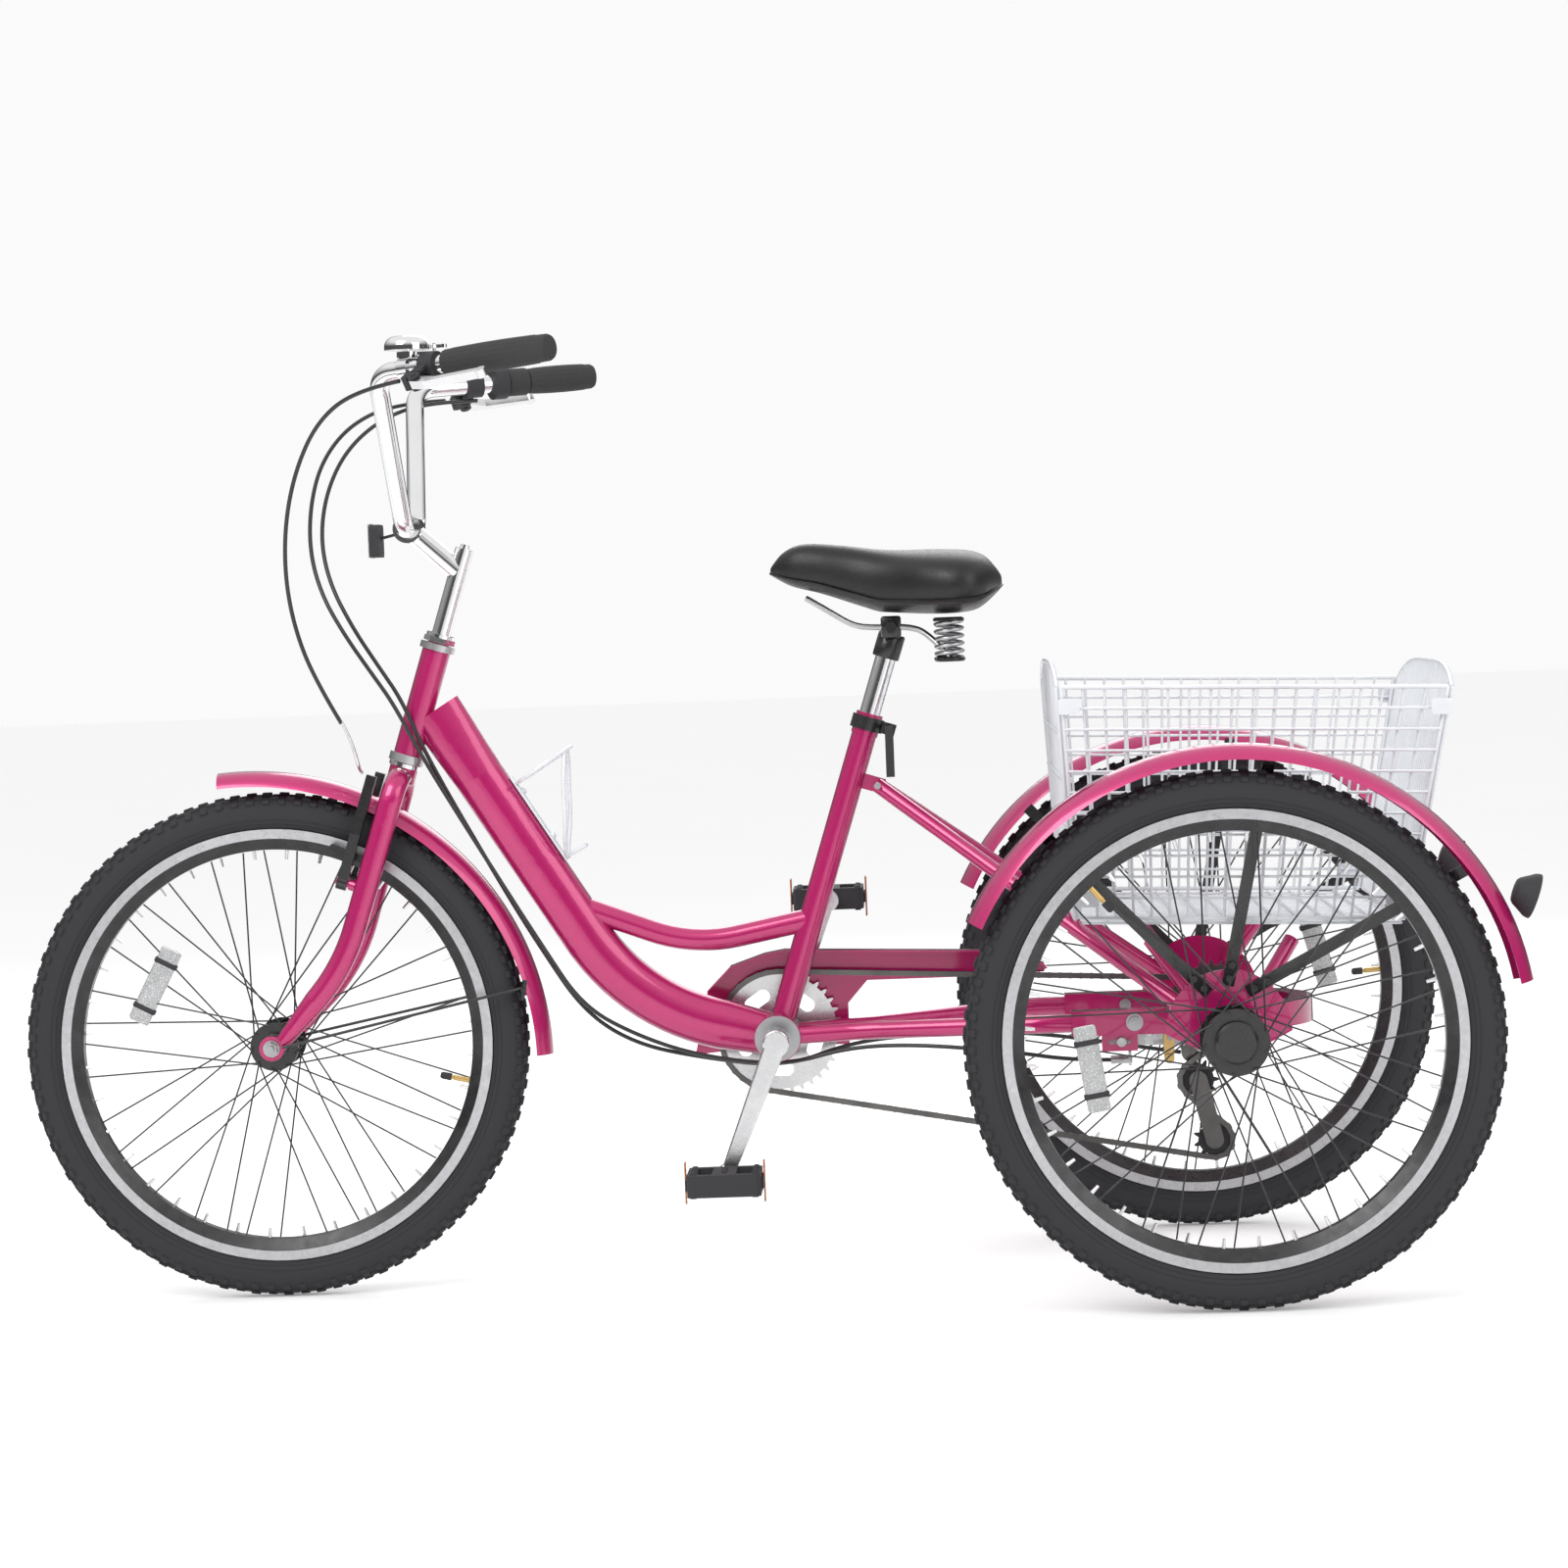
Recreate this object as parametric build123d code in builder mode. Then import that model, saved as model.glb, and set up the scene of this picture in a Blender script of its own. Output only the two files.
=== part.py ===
from build123d import *
import os
from math import atan2, cos, degrees, radians, sin, sqrt, tan

# Adult tricycle. The front of the machine points along -X, the rider's left is -Y, +Z is up.
# The origin lies on the ground under the middle of the whole tricycle. Sizes are millimetres.

os.makedirs("parts", exist_ok=True)

# ---------------------------------------------------------------- driving sizes
wheelbase = 1124.0
half_track = 315.0
rim_radius = 260.0
rim_depth = 25.0
rim_width = 32.0
tyre_height = 44.0
tyre_width = 50.0
front_axle_x = -584.5

spoke_count = 36
spoke_radius = 1.0
hub_flange_radius = 37.5
hub_flange_half = 26.0
hub_barrel_radius = 21.0
front_flange_radius = 29.0
front_flange_half = 32.0
front_barrel_radius = 16.0

running_gap = 0.05
slide_gap = 0.05

head_angle = 72.1
steering_lead = 59.9
head_low = 360.5
head_high = 490.2
head_radius = 17.0
head_bore = 15.0
steerer_radius = 12.7
quill_radius = 11.1
stem_top = 616.0

front_centre = 602.5
crank_drop = 10.5
shell_radius = 28.0
shell_bore = 25.6
shell_half = 34.0
spindle_radius = 11.0

down_tube_tall = 30.0
down_tube_wide = 23.0
step_tube_radius = 13.5
seat_angle = 72.0
seat_tube_length = 401.7
seat_tube_radius = 15.0
seat_post_radius = 12.7
seat_post_length = 205.0
seat_post_inside = 110.0
tube_wall = 1.8

stay_radius = 11.0
rail_half = 105.0
rail_wide = 26.0
rail_tall = 29.0
rail_wall = 1.5
hoop_radius = 105.0
rail_overlap = 174.0
bolt_radius = 4.0
axle_radius = 8.5
front_axle_radius = 4.8
bearing_radius = 17.5
bearing_wide = 12.0
carrier_half = 235.0
carrier_radius = 72.0
carrier_thick = 5.0

chain_line = 45.0
chain_pitch = 12.7
ring_teeth = 36
cog_teeth = (28, 24, 22, 20, 18, 16, 14)
cog_spacing = 5.0
chain_cog = 4
pulley_teeth = 11
ring_phase = 0.0
cog_phase = 0.0
pulley_phase = {"guide_pulley": 0.0, "tension_pulley": 0.0}
crank_length = 165.6
crank_lean = 22.4
crank_arm_half = 86.0
crank_arm_thick = 11.0
pedal_centre = 150.0
pedal_long = 86.0
pedal_wide = 76.0
pedal_thick = 26.0
pedal_axle_radius = 6.0

bar_radius = 11.1
bar_clamp_radius = 12.7
lever_travel = 14.0
sheath_radius = 2.5

fender_sheet = 1.6
front_fender_width = 56.0
front_fender_radius = 357.0
rear_fender_width = 62.0
rear_fender_radius = 333.0
fender_crown = 18.0

basket_wire = 3.2
basket_rim_wire = 5.0
basket_top_half = 255.0
basket_low_half = 238.0

# ---------------------------------------------------------------- derived places
tyre_radius = rim_radius + tyre_height
axle_height = tyre_radius
rear_axle_x = front_axle_x + wheelbase
crank_x = front_axle_x + front_centre
crank_z = axle_height - crank_drop
steering_foot_x = front_axle_x + steering_lead
head = radians(head_angle)
seat = radians(seat_angle)


def on_steering(up, forward=0.0, side=0.0):
    """Point measured up the steering axis from axle height, forward of it, and sideways."""
    x = steering_foot_x + up * cos(head) - forward * sin(head)
    z = axle_height + up * sin(head) + forward * cos(head)
    return (x, side, z)


def on_seat_tube(up, back=0.0, side=0.0):
    """Point measured up the seat tube from the crank axis, behind it, and sideways."""
    x = crank_x + up * cos(seat) + back * sin(seat)
    z = crank_z + up * sin(seat) - back * cos(seat)
    return (x, side, z)


def from_rear(x, y, z):
    """Point measured from the rear axle's centre."""
    return (rear_axle_x + x, y, axle_height + z)


def from_crank(x, y, z):
    """Point measured from the crank axis."""
    return (crank_x + x, y, crank_z + z)


def from_front(x, y, z):
    """Point measured from the front axle's centre."""
    return (front_axle_x + x, y, axle_height + z)


def between(start, end, share):
    """Point that divides a line in a given share."""
    return tuple(a + (b - a) * share for a, b in zip(start, end))


def toothed_radius(teeth):
    """Pitch radius of a chain wheel."""
    return chain_pitch / 2 / sin(radians(180 / teeth))


def bar(start, end, radius, mode=Mode.ADD):
    """Round bar between two points."""
    run = Vector(*end) - Vector(*start)
    with BuildSketch(Plane(origin=start, z_dir=run)) as section:
        Circle(radius)
    extrude(section.sketch, amount=run.length, mode=mode)


def ring(start, end, radius, bore):
    """Round tube between two points."""
    run = Vector(*end) - Vector(*start)
    with BuildSketch(Plane(origin=start, z_dir=run)) as section:
        Circle(radius)
        Circle(bore, mode=Mode.SUBTRACT)
    extrude(section.sketch, amount=run.length)


def bent_bar(points, radii, radius, mode=Mode.ADD):
    """Round bar along straight runs joined by arcs."""
    with BuildLine() as route:
        FilletPolyline(*points, radius=radii)
    with BuildSketch(Plane(origin=route.line @ 0, z_dir=route.line % 0)) as section:
        Circle(radius)
    sweep(section.sketch, path=route.line, mode=mode)


def flat_bar(start, end, across, width, thick):
    """Flat strip between two points, its width lying along the given direction."""
    run = Vector(*end) - Vector(*start)
    with BuildSketch(Plane(origin=start, x_dir=across, z_dir=run)) as section:
        Rectangle(width, thick)
    extrude(section.sketch, amount=run.length)


def corner_radii(points):
    """Largest arc that each corner of a cable's route allows."""
    radii = []
    for before, here, after in zip(points, points[1:], points[2:]):
        first = Vector(*here) - Vector(*before)
        second = Vector(*after) - Vector(*here)
        turn = radians(first.get_angle(second))
        radii.append(0.45 * min(first.length, second.length) / tan(turn / 2))
    print("cable arc radii", [round(value) for value in radii])
    return radii


def cable(points):
    """Cable housing along its route."""
    bent_bar(points, corner_radii(points), sheath_radius)


def save(piece, label):
    """Label a finished piece and write its file."""
    piece.part.label = label
    export_step(piece.part, f"parts/{label}.step")


# ---------------------------------------------------------------- main frame
seat_top = on_seat_tube(seat_tube_length)
down_top_up = 434.0
down_start = on_steering(down_top_up)
down_corner = from_crank(-170.7, 0, 40.3)
crank_centre = from_crank(0, 0, 0)
down_bend = 250.0
step_start = between(down_start, down_corner, 0.658)
step_corner = from_crank(-97, 0, 111.5)
step_end = on_seat_tube(145.6)
step_bend = 190.0
stay_front = from_crank(24, 22, 2)
stay_knee = from_crank(105, 24, 5)
rail_front_x = -rail_overlap
stay_join = from_rear(rail_front_x - 45, rail_half, 3)
stay_end = from_rear(rail_front_x + 90, rail_half, 3)
stay_bend = 120.0
stay_lug_up = 322.0
stay_lug_back = 32.0

with BuildPart() as main_frame:
    with BuildLine() as down_route:
        FilletPolyline(down_start, down_corner, between(down_corner, crank_centre, 0.62), radius=down_bend)
    down_end = down_route.line @ 1
    down_begin = between(down_start, down_corner, 0.05)
    down_full = between(down_start, down_corner, 0.26)
    side_way = (0, 1, 0)
    down_dir = down_route.line % 0
    with BuildSketch(Plane(origin=down_full, x_dir=side_way, z_dir=down_dir)) as down_section:
        Ellipse(down_tube_wide, down_tube_tall)
    with BuildLine() as down_lower_route:
        FilletPolyline(down_full, down_corner, tuple(down_end), radius=down_bend)
    sweep(down_section.sketch, path=down_lower_route.line)
    with BuildSketch(Plane(origin=down_begin, x_dir=side_way, z_dir=down_dir)) as down_mouth:
        Ellipse(head_radius - 1, down_tube_tall + 3)
    with BuildSketch(Plane(origin=down_full, x_dir=side_way, z_dir=down_dir)) as down_neck:
        Ellipse(down_tube_wide, down_tube_tall)
    loft([down_mouth.sketch, down_neck.sketch])
    end_dir = down_route.line % 1
    with BuildSketch(Plane(origin=down_end, x_dir=side_way, z_dir=end_dir)) as down_foot:
        Ellipse(down_tube_wide, down_tube_tall)
    with BuildSketch(Plane(origin=crank_centre, x_dir=side_way, z_dir=end_dir)) as down_heel:
        Ellipse(down_tube_wide, shell_radius - 3)
    loft([down_foot.sketch, down_heel.sketch])
    bent_bar([step_start, step_corner, step_end], [step_bend], step_tube_radius)
    bar(crank_centre, seat_top, seat_tube_radius)
    # lug between the two rear stays
    flat_bar(on_seat_tube(stay_lug_up, 0), on_seat_tube(stay_lug_up, stay_lug_back + 8), (0, 1, 0), 9, 18)
    bar(
        on_seat_tube(stay_lug_up, stay_lug_back, -20),
        on_seat_tube(stay_lug_up, stay_lug_back, 20),
        bolt_radius + 0.1,
        mode=Mode.SUBTRACT,
    )
    bar(on_seat_tube(seat_tube_length - 26), seat_top, seat_tube_radius + 1.2)
    # hollow of the down tube, closed short of the head tube and of the shell
    with BuildSketch(Plane(origin=down_full, x_dir=side_way, z_dir=down_dir)) as down_core:
        Ellipse(down_tube_wide - tube_wall, down_tube_tall - tube_wall)
    sweep(down_core.sketch, path=down_lower_route.line, mode=Mode.SUBTRACT)
    bar(on_steering(head_low), on_steering(head_high), head_radius)
    bar(from_crank(0, -shell_half, 0), from_crank(0, shell_half, 0), shell_radius)
    for side in (-1, 1):
        mirrored = [(x, side * y, z) for x, y, z in (stay_front, stay_knee, stay_join, stay_end)]
        bent_bar(mirrored, [stay_bend, stay_bend], stay_radius)
    bar(on_steering(head_low - 1), on_steering(head_high + 1), head_bore, mode=Mode.SUBTRACT)
    bar(
        from_crank(0, -shell_half - 1, 0),
        from_crank(0, shell_half + 1, 0),
        shell_bore,
        mode=Mode.SUBTRACT,
    )
    bar(
        on_seat_tube(shell_radius + 6),
        on_seat_tube(seat_tube_length + 1),
        seat_post_radius + slide_gap,
        mode=Mode.SUBTRACT,
    )
    # holes for the bolts that join the stays to the rear rails
    bar(from_rear(-101, -130, 3), from_rear(-101, 130, 3), bolt_radius + 0.1, mode=Mode.SUBTRACT)
    # clamp slot at the back of the seat tube
    with BuildSketch(Plane(origin=on_seat_tube(seat_tube_length, seat_tube_radius), z_dir=(cos(seat), 0, sin(seat)))) as slot:
        Rectangle(14, 2.4)
    extrude(slot.sketch, amount=-30, mode=Mode.SUBTRACT)
save(main_frame, "main_frame")

# ---------------------------------------------------------------- rear frame
hoop_front = from_rear(rail_front_x, rail_half, 3)
with BuildPart() as rear_frame:
    with BuildLine() as hoop_route:
        Line(from_rear(rail_front_x, -rail_half, 3), from_rear(0, -rail_half, 3))
        ThreePointArc(
            from_rear(0, -rail_half, 3),
            from_rear(hoop_radius, 0, 3),
            from_rear(0, rail_half, 3),
        )
        Line(from_rear(0, rail_half, 3), from_rear(rail_front_x, rail_half, 3))
    with BuildSketch(Plane(origin=hoop_route.line @ 0, x_dir=(0, 1, 0), z_dir=(1, 0, 0))) as rail_section:
        Rectangle(rail_wide, rail_tall)
        Rectangle(rail_wide - 2 * rail_wall, rail_tall - 2 * rail_wall, mode=Mode.SUBTRACT)
    sweep(rail_section.sketch, path=hoop_route.line, transition=Transition.ROUND)
    for side in (-1, 1):
        # axle housing between the rail and the outer carrier
        bar(from_rear(0, side * (rail_half - rail_wide / 2), 0), from_rear(0, side * carrier_half, 0), 21)
        # half-round carrier plate
        with BuildSketch(Plane(origin=from_rear(0, side * carrier_half, 0), x_dir=(1, 0, 0), z_dir=(0, side, 0))) as carrier:
            with BuildLine():
                start_angle = -15 if side < 0 else 195
                a = (carrier_radius * cos(radians(12)), -side * -carrier_radius * sin(radians(12)))
                ThreePointArc(
                    (-carrier_radius, 0),
                    (0, -side * carrier_radius),
                    (carrier_radius, 0),
                )
                Line((carrier_radius, 0), (24, side * 24))
                Line((24, side * 24), (-24, side * 24))
                Line((-24, side * 24), (-carrier_radius, 0))
            make_face()
        extrude(carrier.sketch, amount=-carrier_thick)
        # stay from the seat tube and the two struts under the basket
        bar(on_seat_tube(stay_lug_up, stay_lug_back, side * 14), from_rear(-48, side * (carrier_half - 10), 28), 9)
        bar(from_rear(-32, side * (carrier_half - 10), 33), from_rear(-84, side * 196, 106), 9)
        bar(from_rear(36, side * (carrier_half - 10), 40), from_rear(78, side * 196, 101), 9)
    # slotted lug that anchors the brake plate
    for side in (-1,):
        with BuildSketch(Plane(origin=from_rear(-118, side * (rail_half - 6), -11.5), x_dir=(1, 0, 0), z_dir=(0, 1, 0))) as lug:
            with Locations((0, 10)):
                Rectangle(42, 22)
                SlotOverall(26, 6, mode=Mode.SUBTRACT)
        extrude(lug.sketch, amount=4)
    for side in (-1, 1):
        bar(
            from_rear(0, side * (rail_half - rail_wide / 2 - 1), 0),
            from_rear(0, side * (carrier_half + 1), 0),
            bearing_radius,
            mode=Mode.SUBTRACT,
        )
    # bolt holes through the rails
    for x in (-101, -44):
        bar(from_rear(x, -130, 3), from_rear(x, 130, 3), bolt_radius + 0.1, mode=Mode.SUBTRACT)
    bar(
        on_seat_tube(stay_lug_up, stay_lug_back, -40),
        on_seat_tube(stay_lug_up, stay_lug_back, 40),
        bolt_radius + 0.1,
        mode=Mode.SUBTRACT,
    )
save(rear_frame, "rear_frame")

# ---------------------------------------------------------------- bolts of the frame
with BuildPart() as frame_bolts:
    for side in (-1, 1):
        inner = rail_half - rail_wide / 2
        outer = rail_half + rail_wide / 2
        for x in (-101, -44):
            bar(from_rear(x, side * (inner - 9), 3), from_rear(x, side * (outer + 8), 3), bolt_radius)
            bar(from_rear(x, side * outer, 3), from_rear(x, side * (outer + 1.6), 3), 10)
            bar(from_rear(x, side * (outer + 1.6), 3), from_rear(x, side * (outer + 6), 3), 7)
            bar(from_rear(x, side * (inner - 6), 3), from_rear(x, side * inner, 3), 7)
    bar(
        on_seat_tube(stay_lug_up, stay_lug_back, -30),
        on_seat_tube(stay_lug_up, stay_lug_back, 30),
        bolt_radius,
    )
save(frame_bolts, "frame_bolts")

# ---------------------------------------------------------------- bearing cups of head and crank
cup_insert = 10.0
with BuildPart() as bearing_cups:
    ring(on_steering(head_low - 10), on_steering(head_low), 21, steerer_radius + 0.8)
    ring(on_steering(head_low), on_steering(head_low + cup_insert), head_bore, steerer_radius + 0.8)
    ring(on_steering(head_high), on_steering(head_high + 8), 21, steerer_radius + 0.8)
    ring(on_steering(head_high - cup_insert), on_steering(head_high), head_bore, steerer_radius + 0.8)
    for side in (-1, 1):
        face = side * shell_half
        ring(from_crank(0, face, 0), from_crank(0, face + side * 4, 0), shell_radius - 1, spindle_radius + running_gap)
        ring(from_crank(0, face - side * cup_insert, 0), from_crank(0, face, 0), shell_bore, spindle_radius + 3)
    # rings that carry the rear axle in the rails and the outer carriers
    for side in (-1, 1):
        for place in (rail_half - rail_wide / 2 + 1, carrier_half - bearing_wide - 1):
            ring(
                from_rear(0, side * place, 0),
                from_rear(0, side * (place + bearing_wide), 0),
                bearing_radius,
                axle_radius + running_gap,
            )
save(bearing_cups, "bearing_cups")


# ---------------------------------------------------------------- wheels
tyre_section = tyre_width / 2 - 1
tyre_ring = tyre_radius - tyre_section
tyre_wall = 3.0
bead_half = sqrt(tyre_section**2 - (tyre_ring - rim_radius) ** 2) + 0.2
rim_low = rim_radius - rim_depth
track_low = rim_radius - 12.0
spoke_seat = 3.0
spokes_each_way = spoke_count // 4


def wheel(name, centre, side, flange_radius, flange_half, barrel_radius, bore, cap):
    """Tyre, rim, spokes and hub of one wheel, each written as a piece of its own."""
    cx, cy, cz = centre
    upright = Plane(origin=centre, x_dir=(1, 0, 0), z_dir=(0, 0, 1))
    spin = Axis(centre, (0, 1, 0))
    with BuildPart() as tyre:
        with BuildSketch(upright) as tyre_profile:
            with Locations((tyre_ring, 0)):
                Circle(tyre_section)
                Circle(tyre_section - tyre_wall, mode=Mode.SUBTRACT)
        revolve(tyre_profile.sketch, axis=spin)
    save(tyre, f"{name}_tyre")
    with BuildPart() as rim:
        with BuildSketch(upright) as rim_profile:
            half = rim_width / 2
            with BuildLine():
                Polyline(
                    (rim_radius, half),
                    (track_low, half),
                    (rim_low, 7),
                    (rim_low, -7),
                    (track_low, -half),
                    (rim_radius, -half),
                    (rim_radius, -bead_half),
                    (track_low - 2, -bead_half),
                    (track_low - 2, bead_half),
                    (rim_radius, bead_half),
                    close=True,
                )
            make_face()
        revolve(rim_profile.sketch, axis=spin)
    save(rim, f"{name}_rim")
    with BuildPart() as hub:
        with BuildSketch(upright) as hub_profile:
            with BuildLine():
                Polyline(
                    (bore, -flange_half - 4),
                    (barrel_radius - 3, -flange_half - 4),
                    (barrel_radius, -flange_half - 1.5),
                    (flange_radius, -flange_half - 1.5),
                    (flange_radius, -flange_half + 1.5),
                    (barrel_radius, -flange_half + 1.5),
                    (barrel_radius, flange_half - 1.5),
                    (flange_radius, flange_half - 1.5),
                    (flange_radius, flange_half + 1.5),
                    (barrel_radius, flange_half + 1.5),
                    (barrel_radius - 3, flange_half + 4),
                    (bore, flange_half + 4),
                    close=True,
                )
            make_face()
        revolve(hub_profile.sketch, axis=spin)
        if cap:
            end = cy + side * (flange_half + 4)
            with BuildSketch(Plane(origin=(cx, end - side * 3, cz), z_dir=(0, side, 0))) as cap_profile:
                Circle(24)
            extrude(cap_profile.sketch, amount=11)
            chamfer(hub.faces().sort_by(Axis.Y)[-1 if side > 0 else 0].edges(), 3)
            bar((cx, cy, cz), (cx, end + side * 5, cz), bore, mode=Mode.SUBTRACT)
    save(hub, f"{name}_hub")
    with BuildPart() as spokes:
        step = 360 / (spoke_count / 2)
        for flange in (-1, 1):
            for way in (-1, 1):
                for index in range(spokes_each_way):
                    turn = index * 2 * step + (step / 2 if flange > 0 else 0) + (step if way > 0 else 0)
                    foot = radians(turn)
                    tip = radians(turn + way * 62)
                    reach = flange_radius - spoke_seat
                    seat_y = cy + flange * (flange_half + way * 3.6)
                    bar(
                        (cx + reach * cos(foot), seat_y, cz + reach * sin(foot)),
                        (cx + (rim_low - 1) * cos(tip), cy + flange * 2, cz + (rim_low - 1) * sin(tip)),
                        spoke_radius,
                    )
    save(spokes, f"{name}_spokes")


wheel(
    "front",
    from_front(0, 0, 0),
    0,
    front_flange_radius,
    front_flange_half,
    front_barrel_radius,
    front_axle_radius + running_gap,
    False,
)
wheel(
    "rear_left",
    from_rear(0, -half_track, 0),
    -1,
    hub_flange_radius,
    hub_flange_half,
    hub_barrel_radius,
    axle_radius + running_gap,
    True,
)
wheel(
    "rear_right",
    from_rear(0, half_track, 0),
    1,
    hub_flange_radius,
    hub_flange_half,
    hub_barrel_radius,
    axle_radius,
    True,
)

# ---------------------------------------------------------------- rear axle with the brake drum
drum_radius = 38.0
drum_inner = -62.0
drum_outer = -42.0
axle_end = half_track + hub_flange_half + 8
with BuildPart() as rear_axle:
    bar(from_rear(0, -axle_end, 0), from_rear(0, axle_end, 0), axle_radius)
    bar(from_rear(0, drum_inner, 0), from_rear(0, drum_outer, 0), drum_radius)
    bar(from_rear(0, drum_outer, 0), from_rear(0, drum_outer + 8, 0), 16)
    bar(from_rear(0, 8, 0), from_rear(0, 18, 0), 18)
save(rear_axle, "rear_axle")

# ---------------------------------------------------------------- crank, chainring, sprockets
arm_up = radians(270 - crank_lean)
arm_dir = (cos(arm_up), 0, sin(arm_up))
with BuildPart() as crankset:
    bar(from_crank(0, -crank_arm_half, 0), from_crank(0, crank_arm_half, 0), spindle_radius)
    for side in (-1, 1):
        way = side
        arm_x = way * -cos(arm_up) * crank_length
        arm_z = way * -sin(arm_up) * crank_length
        mid_y = side * crank_arm_half
        with BuildSketch(
            Plane(origin=from_crank(0, mid_y, 0), x_dir=(arm_x, 0, arm_z), z_dir=(0, side, 0))
        ) as arm_profile:
            with BuildLine():
                Polyline((0, 13), (crank_length, 8.5), (crank_length, -8.5), (0, -13), close=True)
            make_face()
            Circle(16)
            with Locations((crank_length, 0)):
                Circle(13)
        extrude(arm_profile.sketch, amount=crank_arm_thick)
    fillet(crankset.faces().sort_by(Axis.Y)[-1].edges(), 2.5)
    fillet(crankset.faces().sort_by(Axis.Y)[0].edges(), 2.5)
    for side in (-1, 1):
        arm_x = side * -cos(arm_up) * crank_length
        arm_z = side * -sin(arm_up) * crank_length
        bar(
            from_crank(arm_x, side * (crank_arm_half + 1), arm_z),
            from_crank(arm_x, side * (pedal_centre + pedal_wide / 2 - 6), arm_z),
            pedal_axle_radius,
        )
        # locknut and cone beside the shell
        bar(from_crank(0, side * (shell_half + 4.2), 0), from_crank(0, side * (shell_half + 9), 0), 15)
save(crankset, "crankset")

ring_radius = toothed_radius(ring_teeth)


def toothed_disc(centre, teeth, thick, bore, phase=0.0):
    """Chain wheel with pointed teeth, its middle plane at the given centre."""
    pitch_radius = toothed_radius(teeth)
    root = pitch_radius - 4.0
    cx, cy, cz = centre
    with BuildSketch(Plane(origin=(cx, cy - thick / 2, cz), x_dir=(1, 0, 0), z_dir=(0, 1, 0))) as disc:
        Circle(root + 1)
        with PolarLocations(root - 0.5, teeth, start_angle=phase):
            Polygon((0, 3.0), (4.5, 2.1), (7.6, 0.7), (7.6, -0.7), (4.5, -2.1), (0, -3.0), align=None)
        Circle(bore, mode=Mode.SUBTRACT)
    extrude(disc.sketch, amount=thick)


with BuildPart() as chainring:
    toothed_disc(from_crank(0, chain_line, 0), ring_teeth, 2.2, spindle_radius, ring_phase)
    with BuildSketch(Plane(origin=from_crank(0, chain_line - 3, 0), x_dir=(1, 0, 0), z_dir=(0, 1, 0))) as windows:
        with PolarLocations(46, 5, start_angle=20):
            SlotOverall(34, 17, rotation=90)
    extrude(windows.sketch, amount=6, mode=Mode.SUBTRACT)
    ring(from_crank(0, chain_line + 1.1, 0), from_crank(0, chain_line + 6, 0), 20, spindle_radius)
save(chainring, "chainring")

with BuildPart() as sprockets:
    for index, teeth in enumerate(cog_teeth):
        y = chain_line + (index - chain_cog) * cog_spacing
        phase = cog_phase if index == chain_cog else 0
        toothed_disc(from_rear(0, y, 0), teeth, 1.8, 20, phase)
    ring(
        from_rear(0, chain_line - chain_cog * cog_spacing - 3, 0),
        from_rear(0, chain_line + (len(cog_teeth) - chain_cog) * cog_spacing - 2, 0),
        20.5,
        axle_radius + running_gap,
    )
save(sprockets, "sprockets")

# ---------------------------------------------------------------- fork
blade_half_top = 46.0
blade_half_low = 54.0
dropout = from_front(9.5, 0, 3)
boss_up = 195.0
boss_half = 42.0
crown_up = 333.0
blade_corner_up = 102.0
with BuildPart() as fork:
    bar(on_steering(crown_up - 4), on_steering(505), steerer_radius)
    bar(on_steering(crown_up - 6), on_steering(345), 17)
    for side in (-1, 1):
        shoulder = on_steering(crown_up, 0, side * blade_half_top)
        knee = on_steering(blade_corner_up, 0, side * blade_half_low)
        toe = (dropout[0], side * blade_half_low, dropout[2])
        blade_end = between(knee, toe, 0.45)
        with BuildLine() as blade_route:
            FilletPolyline(on_steering(crown_up, 0, side * 4), shoulder, knee, blade_end, radius=[30, 230])
        with BuildSketch(
            Plane(
                origin=blade_route.line @ 0,
                x_dir=(-sin(head), 0, cos(head)),
                z_dir=blade_route.line % 0,
            )
        ) as blade_section:
            Ellipse(14, 11)
        sweep(blade_section.sketch, path=blade_route.line)
        run = blade_route.line % 1
        with BuildSketch(Plane(origin=blade_end, x_dir=(0, 1, 0), z_dir=run)) as blade_waist:
            Ellipse(11, 14)
        with BuildSketch(Plane(origin=toe, x_dir=(0, 1, 0), z_dir=run)) as blade_toe:
            Ellipse(6, 8.5)
        loft([blade_waist.sketch, blade_toe.sketch])
        with BuildSketch(
            Plane(origin=from_front(0, side * (blade_half_low + 1), 0), z_dir=(0, -side, 0))
        ) as dropout_plate:
            Circle(15)
        extrude(dropout_plate.sketch, amount=6)
        bar(
            from_front(0, side * (blade_half_low - 6), 0),
            from_front(0, side * (blade_half_low + 12), 0),
            front_axle_radius + 0.2,
            mode=Mode.SUBTRACT,
        )
        bar(from_front(0, side * (blade_half_low + 1), 0), from_front(0, side * (blade_half_low + 12), 0), 14.5, mode=Mode.SUBTRACT)
        # brake stud
        bar(on_steering(boss_up, 6, side * (boss_half + 4)), on_steering(boss_up, 20, side * boss_half), 7)
        bar(on_steering(boss_up, 18, side * boss_half), on_steering(boss_up, 38, side * boss_half), 4)
    bar(on_steering(350), on_steering(506), quill_radius + running_gap, mode=Mode.SUBTRACT)
save(fork, "fork")

with BuildPart() as front_axle:
    bar(from_front(0, -72, 0), from_front(0, 72, 0), front_axle_radius)
    for side in (-1, 1):
        bar(from_front(0, side * (blade_half_low + 1), 0), from_front(0, side * (blade_half_low + 2.6), 0), 10)
        with BuildSketch(Plane(origin=from_front(0, side * (blade_half_low + 2.6), 0), z_dir=(0, side, 0))) as axle_nut:
            RegularPolygon(8.6, 6)
        extrude(axle_nut.sketch, amount=9)
        bar(from_front(0, side * (blade_half_low - 5.2), 0), from_front(0, side * (front_flange_half + 6), 0), 8)
save(front_axle, "front_axle")

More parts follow.
